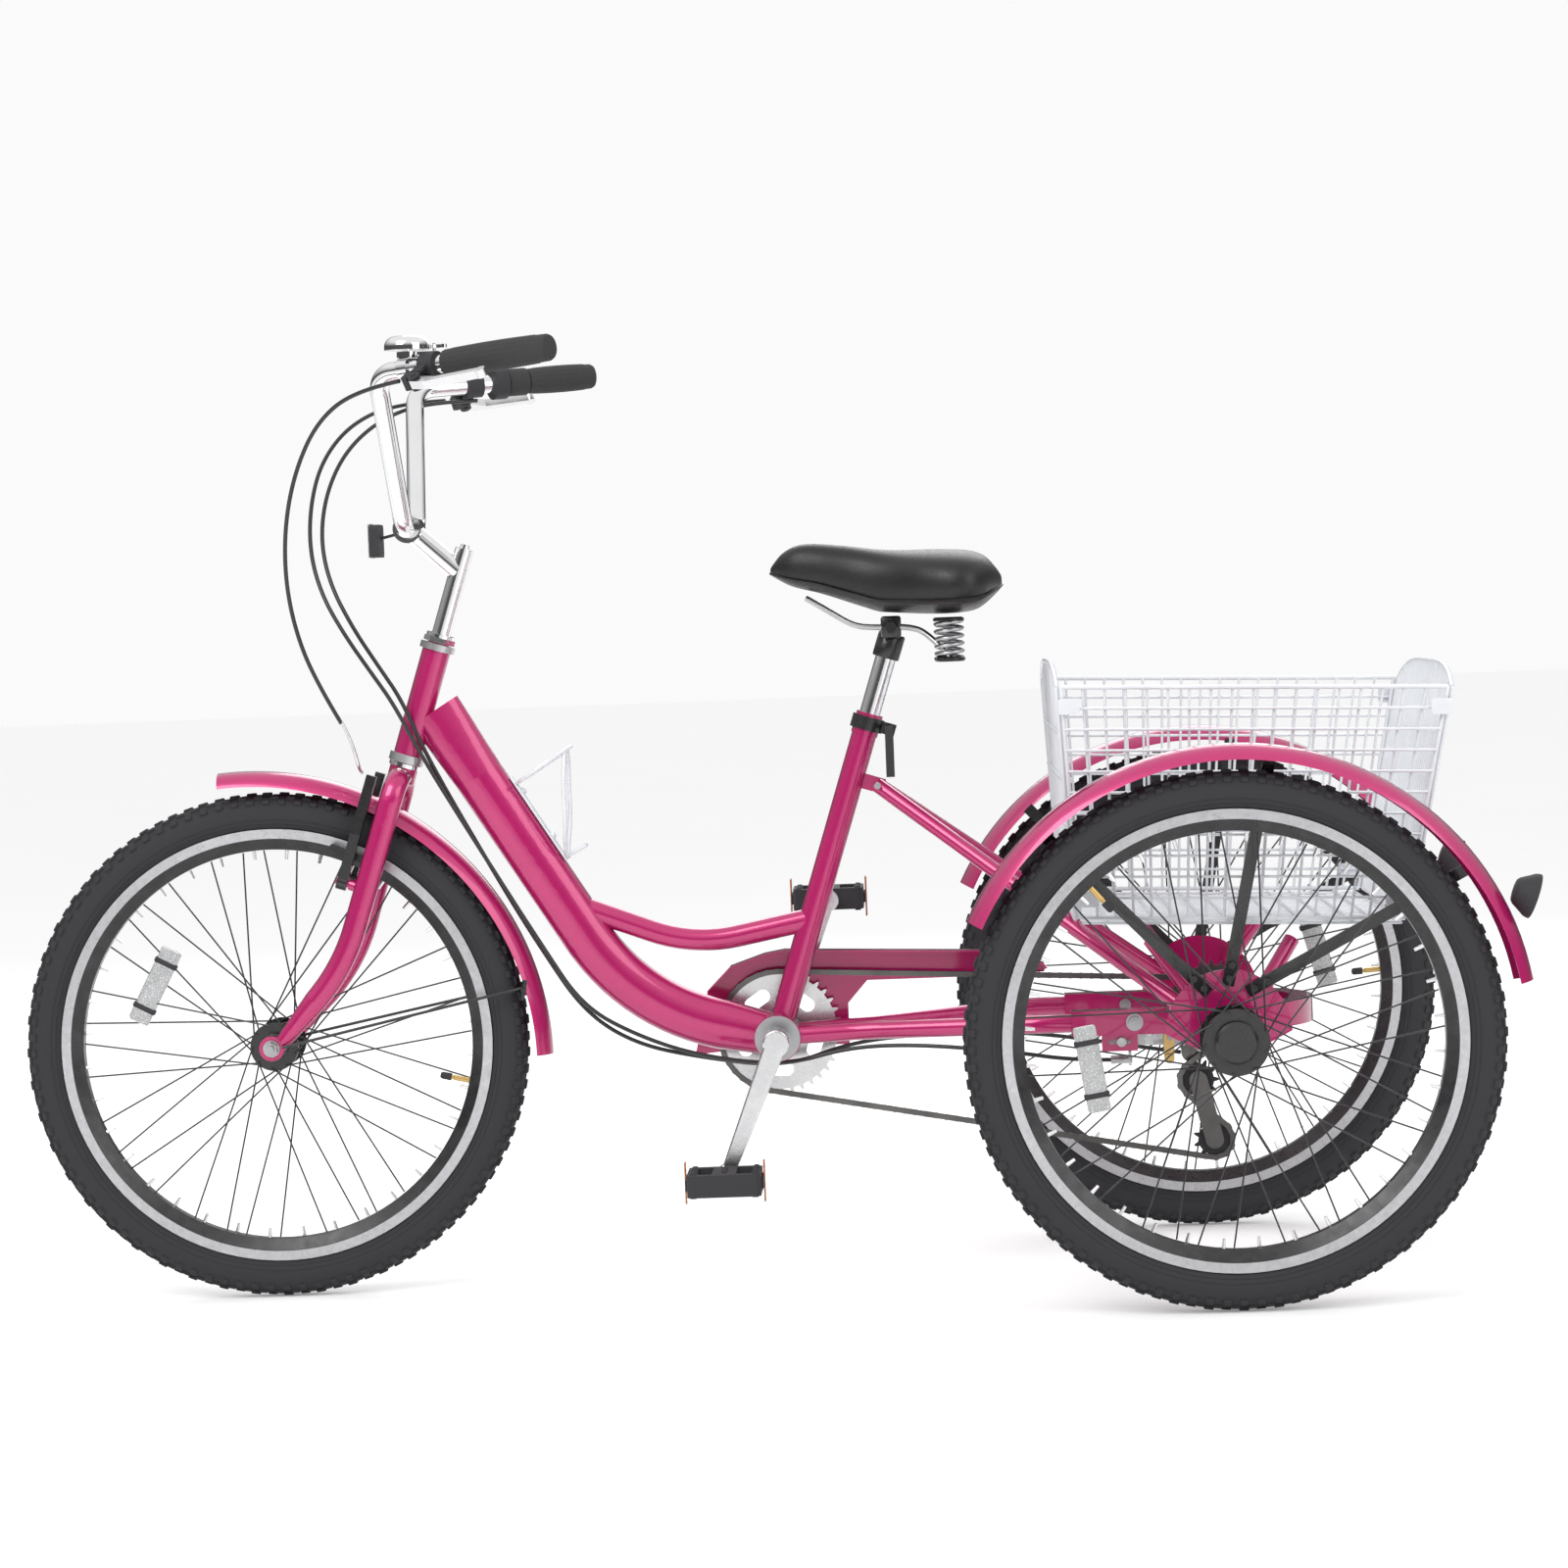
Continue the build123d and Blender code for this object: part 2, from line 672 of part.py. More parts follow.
# ---------------------------------------------------------------- stem with headset nuts
clamp_x = steering_foot_x + 123.8
clamp_z = axle_height + 612.4
bar_centre = (clamp_x, 0, clamp_z)
with BuildPart() as stem:
    bar(on_steering(430), on_steering(stem_top), quill_radius)
    bar(on_steering(588), bar_centre, 12.5)
    bar((clamp_x, -24, clamp_z), (clamp_x, 24, clamp_z), 17)
    bar((clamp_x, -25, clamp_z), (clamp_x, 25, clamp_z), bar_clamp_radius, mode=Mode.SUBTRACT)
    bar(on_steering(stem_top), on_steering(stem_top + 5), 6)
    with BuildSketch(Plane(origin=on_steering(499.5), z_dir=(cos(head), 0, sin(head)))) as headset_nut:
        RegularPolygon(19, 6)
        Circle(steerer_radius, mode=Mode.SUBTRACT)
    extrude(headset_nut.sketch, amount=6)
    ring(on_steering(506), on_steering(510), 17, quill_radius)
    ring(on_steering(345), on_steering(349.5), 19, steerer_radius)
save(stem, "stem")

# ---------------------------------------------------------------- handlebar
bar_low_half = 62.0
bar_high = (clamp_x - 8, 178, clamp_z + 175.6)
bar_end = (clamp_x + 200.8, 297, clamp_z + 190.6)
bar_leg = Vector(*bar_end) - Vector(*bar_high)
grip_way = bar_leg.normalized()


def on_grip(from_end, side, out=0.0, lift=0.0):
    """Point on a handlebar end, measured back from its tip, outwards and upwards."""
    along = Vector(*bar_end) - grip_way * from_end
    outward = Vector(-grip_way.Y, grip_way.X, 0).normalized()
    point = along + outward * out + Vector(0, 0, lift)
    return (point.X, side * point.Y, point.Z)


def grip_vector(side):
    """Unit direction of a handlebar end, pointing at its tip."""
    return Vector(grip_way.X, side * grip_way.Y, grip_way.Z)


with BuildPart() as handlebar:
    for side in (-1, 1):
        bent_bar(
            [
                bar_centre,
                (clamp_x + 1.5, side * bar_low_half, clamp_z),
                (bar_high[0], side * bar_high[1], bar_high[2]),
                (bar_end[0], side * bar_end[1], bar_end[2]),
            ],
            [36, 34],
            bar_radius,
        )
    bar((clamp_x, -25, clamp_z), (clamp_x, 25, clamp_z), bar_clamp_radius)
save(handlebar, "handlebar")

left_grip_length = 140.0
right_grip_length = 88.0
shifter_length = 48.0
grip_radius = 16.0
with BuildPart() as grips:
    for side, length in ((-1, left_grip_length), (1, right_grip_length)):
        with BuildSketch(
            Plane(origin=on_grip(length, side), x_dir=(0, 0, 1), z_dir=grip_vector(side))
        ) as grip_section:
            Ellipse(grip_radius, grip_radius + 2)
            Circle(bar_radius, mode=Mode.SUBTRACT)
        extrude(grip_section.sketch, amount=length)
        bar(on_grip(0, side), on_grip(-4, side), grip_radius - 1)
save(grips, "grips")

with BuildPart() as twist_shifter:
    ring(
        on_grip(right_grip_length + shifter_length - 18, 1),
        on_grip(right_grip_length + 1, 1),
        grip_radius + 1,
        bar_radius + running_gap,
    )
save(twist_shifter, "twist_shifter")

# ---------------------------------------------------------------- brake levers and their mounts
mount_from_end = 168.0
lever_out = 34.0
lever_drop = -20.0
lever_reach = 92.0


def lever_plane(side):
    """Plane of one brake lever: its x runs along the grip, its normal is the pivot."""
    pivot = Vector(*on_grip(mount_from_end - 8, side, lever_out, lever_drop))
    centre = Vector(*on_grip(mount_from_end - 8, side))
    outward = (pivot - centre).normalized()
    normal = grip_vector(side).cross(outward)
    return Plane(origin=pivot, x_dir=grip_vector(side), z_dir=normal)


with BuildPart() as lever_mounts:
    for side in (-1, 1):
        ring(on_grip(mount_from_end + 4, side), on_grip(mount_from_end - 16, side), 15.5, bar_radius)
        plane = lever_plane(side)
        reach = sqrt(lever_out**2 + lever_drop**2)
        for face in (-1, 1):
            low = 5.6 if face > 0 else -8.6
            with BuildSketch(plane.offset(low)) as ear:
                Circle(7)
                with Locations((-4, -reach / 2)):
                    Rectangle(14, reach - 22)
                with Locations((-4, -4)):
                    Rectangle(14, 10)
            extrude(ear.sketch, amount=3)
        with BuildSketch(plane.offset(-8.6)) as bridge:
            with Locations((-13, -6)):
                Rectangle(7, 16)
        extrude(bridge.sketch, amount=17.2)
        with BuildSketch(plane.offset(-10)) as lever_pin:
            Circle(3)
        extrude(lever_pin.sketch, amount=20)
    # fixed housing of the twist shifter
    ring(
        on_grip(right_grip_length + shifter_length, 1),
        on_grip(right_grip_length + shifter_length - 17, 1),
        grip_radius + 4,
        bar_radius,
    )
save(lever_mounts, "lever_mounts")

for side, label in ((-1, "brake_lever_left"), (1, "brake_lever_right")):
    with BuildPart() as brake_lever:
        with BuildSketch(lever_plane(side).offset(-5)) as blade:
            Circle(7.5)
            with BuildLine():
                Polyline(
                    (0, 7.5),
                    (18, 13),
                    (lever_reach, 5),
                    (lever_reach, -3),
                    (30, 3),
                    (7, -4),
                    close=True,
                )
            make_face()
            with Locations((lever_reach, 1)):
                Circle(6)
            Circle(3 + running_gap, mode=Mode.SUBTRACT)
        extrude(blade.sketch, amount=10)
    save(brake_lever, label)

# ---------------------------------------------------------------- bell
bell_from_end = 196.0
bell_seat = on_grip(bell_from_end, -1)
bell_x, bell_y, bell_z = bell_seat
bell_radius = 26.0
bell_base_z = bell_z + bar_radius + 4.5
with BuildPart() as bell:
    ring(on_grip(bell_from_end + 7, -1), on_grip(bell_from_end - 7, -1), 14.5, bar_radius)
    bar((bell_x, bell_y, bell_z + 13), (bell_x, bell_y, bell_base_z + 4), 12)
    flat_bar((bell_x, bell_y, bell_base_z + 2), (bell_x + 34, bell_y, bell_base_z + 2), (0, 1, 0), 7, 3.6)
    bar((bell_x + 31, bell_y, bell_base_z + 3), (bell_x + 31, bell_y, bell_base_z + 13), 2)
    bar((bell_x, bell_y, bell_base_z + 4), (bell_x, bell_y, bell_base_z + 6), 6)
    with BuildSketch(Plane(origin=(bell_x, bell_y, bell_base_z + 6))) as dome:
        Circle(bell_radius)
    extrude(dome.sketch, amount=16)
    fillet(bell.faces().sort_by(Axis.Z)[-1].edges(), 12)
save(bell, "bell")

with BuildPart() as bell_striker:
    with BuildSketch(Plane.XY.offset(bell_base_z + 7)) as striker:
        with Locations((bell_x + 31, bell_y)):
            Circle(4)
        with Locations((bell_x + 38, bell_y - 5)):
            SlotOverall(20, 7, rotation=-35)
        with Locations((bell_x + 31, bell_y)):
            Circle(2 + running_gap, mode=Mode.SUBTRACT)
    extrude(striker.sketch, amount=4)
save(bell_striker, "bell_striker")

# ---------------------------------------------------------------- front reflector
with BuildPart() as front_reflector:
    with BuildSketch(Plane(origin=(clamp_x - 34, 0, clamp_z - 13), z_dir=(-1, 0, 0))) as reflector_face:
        RectangleRounded(39, 48, 6)
    extrude(reflector_face.sketch, amount=12)
    flat_bar((clamp_x - 17, 0, clamp_z - 6), (clamp_x - 34.5, 0, clamp_z - 10), (0, 1, 0), 14, 3)
    ring((clamp_x, 25, clamp_z), (clamp_x, 31, clamp_z), 15, bar_clamp_radius)
save(front_reflector, "front_reflector")

# ---------------------------------------------------------------- fenders
def fender(centre, radius, width, first, last):
    """Curved sheet over a wheel, from one angle to another."""
    low, high = radians(first), radians(last)
    half = width / 2
    inside = half - 1.2 * fender_sheet
    section_plane = Plane(origin=centre, x_dir=(cos(low), 0, sin(low)), z_dir=(-sin(low), 0, cos(low)))
    with BuildSketch(section_plane) as sheet:
        with BuildLine():
            ThreePointArc((radius - fender_crown, -half), (radius, 0), (radius - fender_crown, half))
            Line((radius - fender_crown, half), (radius - fender_crown, inside))
            ThreePointArc(
                (radius - fender_crown, inside),
                (radius - fender_sheet, 0),
                (radius - fender_crown, -inside),
            )
            Line((radius - fender_crown, -inside), (radius - fender_crown, -half))
        make_face()
    revolve(sheet.sketch, axis=Axis(centre, (0, -1, 0)), revolution_arc=last - first)


front_fender_centre = from_front(-25.2, 0, -27.1)
front_fender_first = 0.8
front_fender_last = 95.4
with BuildPart() as front_fender:
    fender(front_fender_centre, front_fender_radius, front_fender_width, front_fender_first, front_fender_last)
save(front_fender, "front_fender")

stay_clip_angle = radians(14.5)
clip_reach = front_fender_radius - fender_crown - 1.5
clip_x = front_fender_centre[0] + clip_reach * cos(stay_clip_angle)
clip_z = front_fender_centre[2] + clip_reach * sin(stay_clip_angle)
with BuildPart() as front_fender_stays:
    for side in (-1, 1):
        foot = from_front(14, side * (blade_half_low + 9.5), 2)
        for rise in (0, 9):
            bar(foot, (clip_x - 1, side * 31, clip_z - 6 + rise), 1.8)
        bar((clip_x - 3, side * 31, clip_z - 12), (clip_x + 2, side * 31, clip_z + 12), 3)
        bar((clip_x, side * 28.3, clip_z), (clip_x, side * 38, clip_z), 3)
save(front_fender_stays, "front_fender_stays")

rear_first = 10.0
rear_last = 154.4
with BuildPart() as rear_fenders:
    for side in (-1, 1):
        fender(from_rear(6, side * half_track, 0), rear_fender_radius, rear_fender_width, rear_first, rear_last)
save(rear_fenders, "rear_fenders")

fender_lip = rear_fender_radius - fender_crown
stay_foot_y = carrier_half + 2.5
lip_y = half_track - rear_fender_width / 2
with BuildPart() as rear_stays:
    for side in (-1, 1):
        for angle, foot_x in ((131.8, -22), (81.6, 0), (34.5, 22)):
            way = radians(angle)
            foot = from_rear(foot_x, side * stay_foot_y, 46 + 8 * (foot_x == 0))
            tip = from_rear(6 + (fender_lip + 3) * cos(way), side * (lip_y - 2.0), (fender_lip + 3) * sin(way))
            flat_bar(foot, tip, (0, side, 0.001), 3, 14)
            for along in (0.03, 0.09):
                px, py, pz = between(foot, tip, along)
                bar((px, py, pz), (px, py + side * 6, pz), 4)
save(rear_stays, "rear_stays")

# ---------------------------------------------------------------- tail lights
lamp_angle = radians(26)
with BuildPart() as tail_lights:
    for side in (-1, 1):
        seat_point = from_rear(
            6 + (rear_fender_radius + 1) * cos(lamp_angle),
            side * half_track,
            (rear_fender_radius + 1) * sin(lamp_angle),
        )
        lens_point = (seat_point[0] + 30, seat_point[1], seat_point[2] + 4)
        face = (0.94, 0, -0.34)
        with BuildSketch(Plane(origin=(seat_point[0] + 8, seat_point[1], seat_point[2] + 10), z_dir=face)) as lamp_foot:
            Circle(15)
        with BuildSketch(Plane(origin=lens_point, z_dir=face)) as lamp_mouth:
            Circle(26)
        loft([lamp_foot.sketch, lamp_mouth.sketch])
        with BuildSketch(Plane(origin=(lens_point[0] + 0.1, lens_point[1], lens_point[2]), z_dir=face)) as lens:
            Circle(24)
        extrude(lens.sketch, amount=4)
save(tail_lights, "tail_lights")

# ---------------------------------------------------------------- basket
basket_tilt = radians(1.9)
basket_front_top = from_rear(-178, 0, 400)
basket_rear_top = from_rear(257, 0, 385)
basket_front_low = from_rear(-165, 0, 136)
basket_rear_low = from_rear(203, 0, 124)
side_bars = 17
side_rows = 10
end_bars = 29
end_rows = 4
arch_rise = 26.0


def wire(start, end, width):
    """One straight wire of a flat grille, drawn in its plane."""
    run = Vector(*end) - Vector(*start)
    middle = (Vector(*start) + Vector(*end)) * 0.5
    turn = degrees(atan2(run.Y, run.X))
    return Rectangle(run.length + width * 0.6, width, mode=Mode.PRIVATE).moved(
        Location((middle.X, middle.Y, 0), (0, 0, turn))
    )


def grille(low_a, low_b, top_a, top_b, bars, rows, arch):
    """Welded wire panel between four corners, its top edge arched by the given rise."""
    origin = Vector(*low_a)
    along = (Vector(*low_b) - origin).normalized()
    normal = along.cross(Vector(*top_a) - origin).normalized()
    plane = Plane(origin=origin, x_dir=along, z_dir=normal)

    def flat(point):
        local = plane.to_local_coords(Vector(*point))
        return (local.X, local.Y)

    def edge(share):
        x, y = between(c, d, share)
        return (x, y + arch * (1 - (2 * share - 1) ** 4))

    a, b, c, d = flat(low_a), flat(low_b), flat(top_a), flat(top_b)
    steps = 8 if arch else 1
    with BuildSketch(plane) as panel:
        wires = [wire(start, end, basket_rim_wire) for start, end in ((a, b), (a, c), (b, d))]
        for index in range(steps):
            wires.append(wire(edge(index / steps), edge((index + 1) / steps), basket_rim_wire))
        for index in range(1, bars + 1):
            share = index / (bars + 1)
            wires.append(wire(between(a, b, share), edge(share), basket_wire))
        for index in range(1, rows + 1):
            share = index / (rows + 1)
            wires.append(wire(between(a, c, share), between(b, d, share), basket_wire))
        add(wires)
    extrude(panel.sketch, amount=basket_wire / 2, both=True)


def corner(point, y):
    """Basket corner at the given half width."""
    return (point[0], y, point[2])


with BuildPart() as basket_walls:
    for side in (-1, 1):
        grille(
            corner(basket_front_low, side * basket_low_half),
            corner(basket_rear_low, side * basket_low_half),
            corner(basket_front_top, side * basket_top_half),
            corner(basket_rear_top, side * basket_top_half),
            side_bars,
            side_rows,
            0,
        )
    for low, top, gap in ((basket_front_low, basket_front_top, -5), (basket_rear_low, basket_rear_top, 5)):
        grille(
            (low[0] + gap, -basket_low_half + 4, low[2]),
            (low[0] + gap, basket_low_half - 4, low[2]),
            (top[0] + gap, -basket_top_half + 4, top[2]),
            (top[0] + gap, basket_top_half - 4, top[2]),
            end_bars,
            end_rows,
            arch_rise,
        )
save(basket_walls, "basket_walls")

with BuildPart() as basket_floor:
    drop = 5.5
    grille(
        (basket_front_low[0] + 4, -basket_low_half + 5, basket_front_low[2] - drop),
        (basket_rear_low[0] - 4, -basket_low_half + 5, basket_rear_low[2] - drop),
        (basket_front_low[0] + 4, basket_low_half - 5, basket_front_low[2] - drop),
        (basket_rear_low[0] - 4, basket_low_half - 5, basket_rear_low[2] - drop),
        12,
        14,
        0,
    )
save(basket_floor, "basket_floor")

# ---------------------------------------------------------------- chain guard
guard_line = 61.0
with BuildPart() as chain_guard:
    with BuildSketch(Plane(origin=from_crank(0, guard_line, 0), x_dir=(1, 0, 0), z_dir=(0, -1, 0))) as guard_plate:
        with BuildLine():
            Polyline((-86, 52), (-57, 81), (-15, 95), (9, 99), (246, 90), (322, 72), (326, 66), (322, 60), (245, 57))
            Polyline((245, 57), (108, 57), (84, 30), (84, -20), (-60, -20), (-73, -24), (-104, -27), (-100, -10))
            Line((-100, -10), (-86, 52))
        make_face()
        Circle(64, mode=Mode.SUBTRACT)
    extrude(guard_plate.sketch, amount=-1.5)
    with BuildSketch(Plane(origin=from_crank(0, guard_line, 0), x_dir=(1, 0, 0), z_dir=(0, -1, 0))) as guard_rim:
        with BuildLine():
            Polyline((-86, 52), (-57, 81), (-15, 95), (9, 99), (246, 90), (322, 72), (326, 66))
            Polyline((326, 66), (324.4, 65.2), (320.6, 70.4), (245.7, 88.4), (9.1, 97.4), (-14.6, 93.4))
            Polyline((-14.6, 93.4), (-56, 79.7), (-84.6, 51.2), (-86, 52))
        make_face()
    extrude(guard_rim.sketch, amount=24)
save(chain_guard, "chain_guard")


# ---------------------------------------------------------------- chain, free runs only
def chain_run(start, end, gap_front, gap_rear):
    """Two rows of links joined by pins, between two points of the chain line."""
    run = Vector(*end) - Vector(*start)
    way = run.normalized()
    first = Vector(*start) + way * gap_front
    length = run.length - gap_front - gap_rear
    plane = Plane(origin=first, x_dir=way, z_dir=(0, 1, 0))
    for low in (-3.9, 2.5):
        with BuildSketch(plane.offset(low)) as links:
            with Locations((length / 2, 0)):
                Rectangle(length, 7.6)
        extrude(links.sketch, amount=1.4)
    count = int(length / chain_pitch) - 1
    with BuildSketch(plane.offset(-3.0)) as pins:
        with Locations((length / 2, 0)):
            with GridLocations(chain_pitch, 1, count, 1):
                Circle(2.2)
    extrude(pins.sketch, amount=6.0)


def tangent_points(centre_a, radius_a, centre_b, radius_b, above):
    """Ends of the straight line that touches two chain wheels on the same side."""
    (ax, ay, az), (bx, by, bz) = centre_a, centre_b
    distance = sqrt((bx - ax) ** 2 + (bz - az) ** 2)
    slope = atan2(bz - az, bx - ax)
    lean = (radius_b - radius_a) / distance
    normal = slope + (radians(90) + atan2(lean, sqrt(1 - lean**2)) if above else 0)
    if not above:
        normal = slope - radians(90) - atan2(lean, sqrt(1 - lean**2))
    nx, nz = cos(normal), sin(normal)
    return (ax + radius_a * nx, ay, az + radius_a * nz), (bx + radius_b * nx, by, bz + radius_b * nz)


ring_centre = from_crank(0, chain_line, 0)
cog_centre = from_rear(0, chain_line, 0)
guide_centre = from_rear(-18.6, chain_line, -86.5)
tension_centre = from_rear(-1.0, chain_line, -159.0)
cog_radius = toothed_radius(cog_teeth[chain_cog])
pulley_radius = toothed_radius(pulley_teeth)
with BuildPart() as chain:
    upper_a, upper_b = tangent_points(ring_centre, ring_radius, cog_centre, cog_radius, True)
    chain_run(upper_a, upper_b, 48, 40)
    lower_a, lower_b = tangent_points(ring_centre, ring_radius, tension_centre, pulley_radius, False)
    chain_run(lower_a, lower_b, 48, 28)
save(chain, "chain")

# ---------------------------------------------------------------- derailleur
with BuildPart() as derailleur_body:
    with BuildSketch(Plane(origin=from_rear(0, 62, 0), x_dir=(1, 0, 0), z_dir=(0, -1, 0))) as hanger:
        with BuildLine():
            Polyline((63.4, -10), (63.4, 12), (30, 20), (-18, 20), (-38, -48), (-28, -66), (-14, -58), (8, -26), close=True)
        make_face()
        Circle(axle_radius + 4, mode=Mode.SUBTRACT)
    extrude(hanger.sketch, amount=-4)
    bar(from_rear(-26, 53.6, -55), from_rear(-26, 71.5, -55), 10.5)
    bar(from_rear(-26, 60.7, -55), guide_centre[:1] + (60.7,) + guide_centre[2:], 5.6)
    bar(guide_centre[:1] + (53,) + guide_centre[2:], guide_centre[:1] + (66,) + guide_centre[2:], 12)
save(derailleur_body, "derailleur_body")

with BuildPart() as derailleur_cage:
    cage_run = Vector(*tension_centre) - Vector(*guide_centre)
    cage_turn = degrees(atan2(cage_run.Z, cage_run.X))
    cage_middle = between(guide_centre, tension_centre, 0.5)
    for low in (-7, 5):
        with BuildSketch(
            Plane(origin=(cage_middle[0], chain_line + low, cage_middle[2]), x_dir=(cage_run.X, 0, cage_run.Z), z_dir=(0, 1, 0))
        ) as cage_plate:
            SlotOverall(cage_run.length + 22, 22)
        extrude(cage_plate.sketch, amount=2)
    for x, y, z in (guide_centre, tension_centre):
        bar((x, chain_line - 7, z), (x, chain_line + 7, z), 3)
save(derailleur_cage, "derailleur_cage")

for centre, label in ((guide_centre, "guide_pulley"), (tension_centre, "tension_pulley")):
    with BuildPart() as pulley:
        toothed_disc(centre, pulley_teeth, 2.2, 3 + running_gap, pulley_phase[label])
        ring(
            (centre[0], chain_line + 1.1, centre[2]),
            (centre[0], chain_line + 4.6, centre[2]),
            8,
            3 + running_gap,
        )
    save(pulley, label)

# ---------------------------------------------------------------- bottle cage
cage_seat = between(down_start, down_corner, 0.30)
cage_foot = between(down_start, down_corner, 0.56)
down_way = (Vector(*cage_foot) - Vector(*cage_seat)).normalized()
down_up = Vector(-down_way.Z, 0, down_way.X)
if down_up.Z < 0:
    down_up = down_up * -1


def on_down_tube(along, lift, side=0.0):
    """Point measured down the tube from the cage's upper screw, lifted off its surface."""
    point = Vector(*cage_seat) + down_way * along + down_up * (down_tube_tall + lift)
    return (point.X, side, point.Z)


bottle_radius = 37.0
cage_length = 116.0
with BuildPart() as bottle_cage:
    flat_bar(on_down_tube(0, 3), on_down_tube(cage_length, 3), (0, 1, 0), 16, 3)
    with BuildSketch(Plane(origin=on_down_tube(8, bottle_radius + 6), z_dir=down_way)) as cage_hoop:
        Circle(bottle_radius + 3)
        Circle(bottle_radius, mode=Mode.SUBTRACT)
    extrude(cage_hoop.sketch, amount=12)
    with BuildSketch(Plane(origin=on_down_tube(cage_length, 2 + bottle_radius / 2), z_dir=down_way)) as cage_base:
        RectangleRounded(bottle_radius + 2, 34, 8)
    extrude(cage_base.sketch, amount=-3)
    for side in (-1, 1):
        flat_bar(
            on_down_tube(14, bottle_radius + 14, side * (bottle_radius + 1.5)),
            on_down_tube(cage_length - 2, bottle_radius - 2, side * 13),
            tuple(down_up),
            12,
            3,
        )
    for along in (20, 84):
        bar(on_down_tube(along, 0.2), on_down_tube(along, 7), 4.5)
save(bottle_cage, "bottle_cage")

# ---------------------------------------------------------------- seat collar, post and saddle
collar_up = seat_tube_length - 12
clamp_back = 26.0
with BuildPart() as seat_collar:
    ring(on_seat_tube(collar_up - 8), on_seat_tube(collar_up + 8), 19.5, seat_tube_radius + 1.2)
    for side in (-1, 1):
        flat_bar(
            on_seat_tube(collar_up - 7, clamp_back, side * 5),
            on_seat_tube(collar_up + 7, clamp_back, side * 5),
            (0, 1, 0),
            5,
            17,
        )
    with BuildSketch(Plane(origin=on_seat_tube(collar_up - 10), z_dir=(cos(seat), 0, sin(seat)))) as collar_bore:
        Circle(seat_tube_radius + 1.2)
    extrude(collar_bore.sketch, amount=22, mode=Mode.SUBTRACT)
    bar(on_seat_tube(collar_up, clamp_back + 1, -22), on_seat_tube(collar_up, clamp_back + 1, 16), 3)
    bar(on_seat_tube(collar_up, clamp_back + 1, 8), on_seat_tube(collar_up, clamp_back + 1, 14), 7)
save(seat_collar, "seat_collar")

lever_hinge = on_seat_tube(collar_up, clamp_back + 1, -27)
with BuildPart() as quick_release:
    with BuildSketch(Plane(origin=(lever_hinge[0] - 5, lever_hinge[1], lever_hinge[2]), z_dir=(1, 0, 0), x_dir=(0, 1, 0))) as lever_profile:
        Circle(4.8)
        with BuildLine():
            Polyline((-4.8, 0), (4.8, 0), (3, -20), (4, -54), (-2, -56), (-4.5, -24), close=True)
        make_face()
    extrude(lever_profile.sketch, amount=10)
save(quick_release, "quick_release")

post_top_up = seat_tube_length - seat_post_inside + seat_post_length
post_top = on_seat_tube(post_top_up)
rail_z = post_top[2] + 12
with BuildPart() as seat_post:
    ring(on_seat_tube(seat_tube_length - seat_post_inside), post_top, seat_post_radius, seat_post_radius - 2.2)
save(seat_post, "seat_post")

rail_pin_half = 22.0
saddle_front_x = post_top[0] - 143
saddle_rear_x = post_top[0] + 134
with BuildPart() as saddle_frame:
    bar(on_seat_tube(post_top_up - 26), on_seat_tube(post_top_up + 4), 15.5)
    bar(on_seat_tube(post_top_up - 28), on_seat_tube(post_top_up + 0.2), seat_post_radius, mode=Mode.SUBTRACT)
    bar((post_top[0], -26, rail_z), (post_top[0], 26, rail_z), 9)
    for side in (-1, 1):
        bent_bar(
            [
                (saddle_front_x + 40, side * 8, post_top[2] + 49),
                (post_top[0] - 40, side * rail_pin_half, rail_z),
                (post_top[0] + 30, side * rail_pin_half, rail_z),
                (saddle_rear_x - 66, side * 48, post_top[2] - 26),
            ],
            [40, 40],
            3.5,
        )
        spring_x = saddle_rear_x - 66
        for turn in range(5):
            with BuildSketch(Plane(origin=(spring_x, side * 48, post_top[2] - 26 + turn * 11), x_dir=(1, 0, 0), z_dir=(0, -1, 0))) as coil:
                with Locations((17, 0)):
                    Circle(2.4)
            revolve(coil.sketch, axis=Axis((spring_x, side * 48, 0), (0, 0, 1)))
        bar((spring_x, side * 48, post_top[2] - 30), (spring_x, side * 48, post_top[2] + 22), 3)
        bar((spring_x, side * 48, post_top[2] - 30), (spring_x, side * 48, post_top[2] - 25), 17)
        bar((spring_x, side * 48, post_top[2] + 16), (spring_x, side * 48, post_top[2] + 22), 17)
save(saddle_frame, "saddle_frame")

saddle_top = post_top[2] + 105
with BuildPart() as saddle:
    with BuildSketch(Plane.XY.offset(post_top[2] + 10)) as seat_plan:
        with BuildLine():
            Spline(
                (saddle_rear_x, 0),
                (saddle_rear_x - 30, 112),
                (saddle_rear_x - 95, 112),
                (saddle_front_x + 110, 48),
                (saddle_front_x + 30, 33),
                (saddle_front_x, 0),
                tangents=((0, 1), (0, -1)),
            )
            Line((saddle_front_x, 0), (saddle_rear_x, 0))
        make_face()
        mirror(about=Plane.XZ)
    extrude(seat_plan.sketch, amount=120)
    with BuildSketch(Plane(origin=(post_top[0], 130, post_top[2]), x_dir=(1, 0, 0), z_dir=(0, -1, 0))) as seat_side:
        with BuildLine():
            Polyline((134, 38), (138, 62), (128, 86), (112, 97), (70, 101), (0, 104), (-60, 113), (-112, 116))
            Polyline((-112, 116), (-134, 102), (-146, 78), (-136, 66), (-84, 53), (-30, 30), (-10, 26), (98, 26))
            Line((98, 26), (134, 38))
        make_face()
    extrude(seat_side.sketch, amount=260, mode=Mode.INTERSECT)
save(saddle, "saddle")

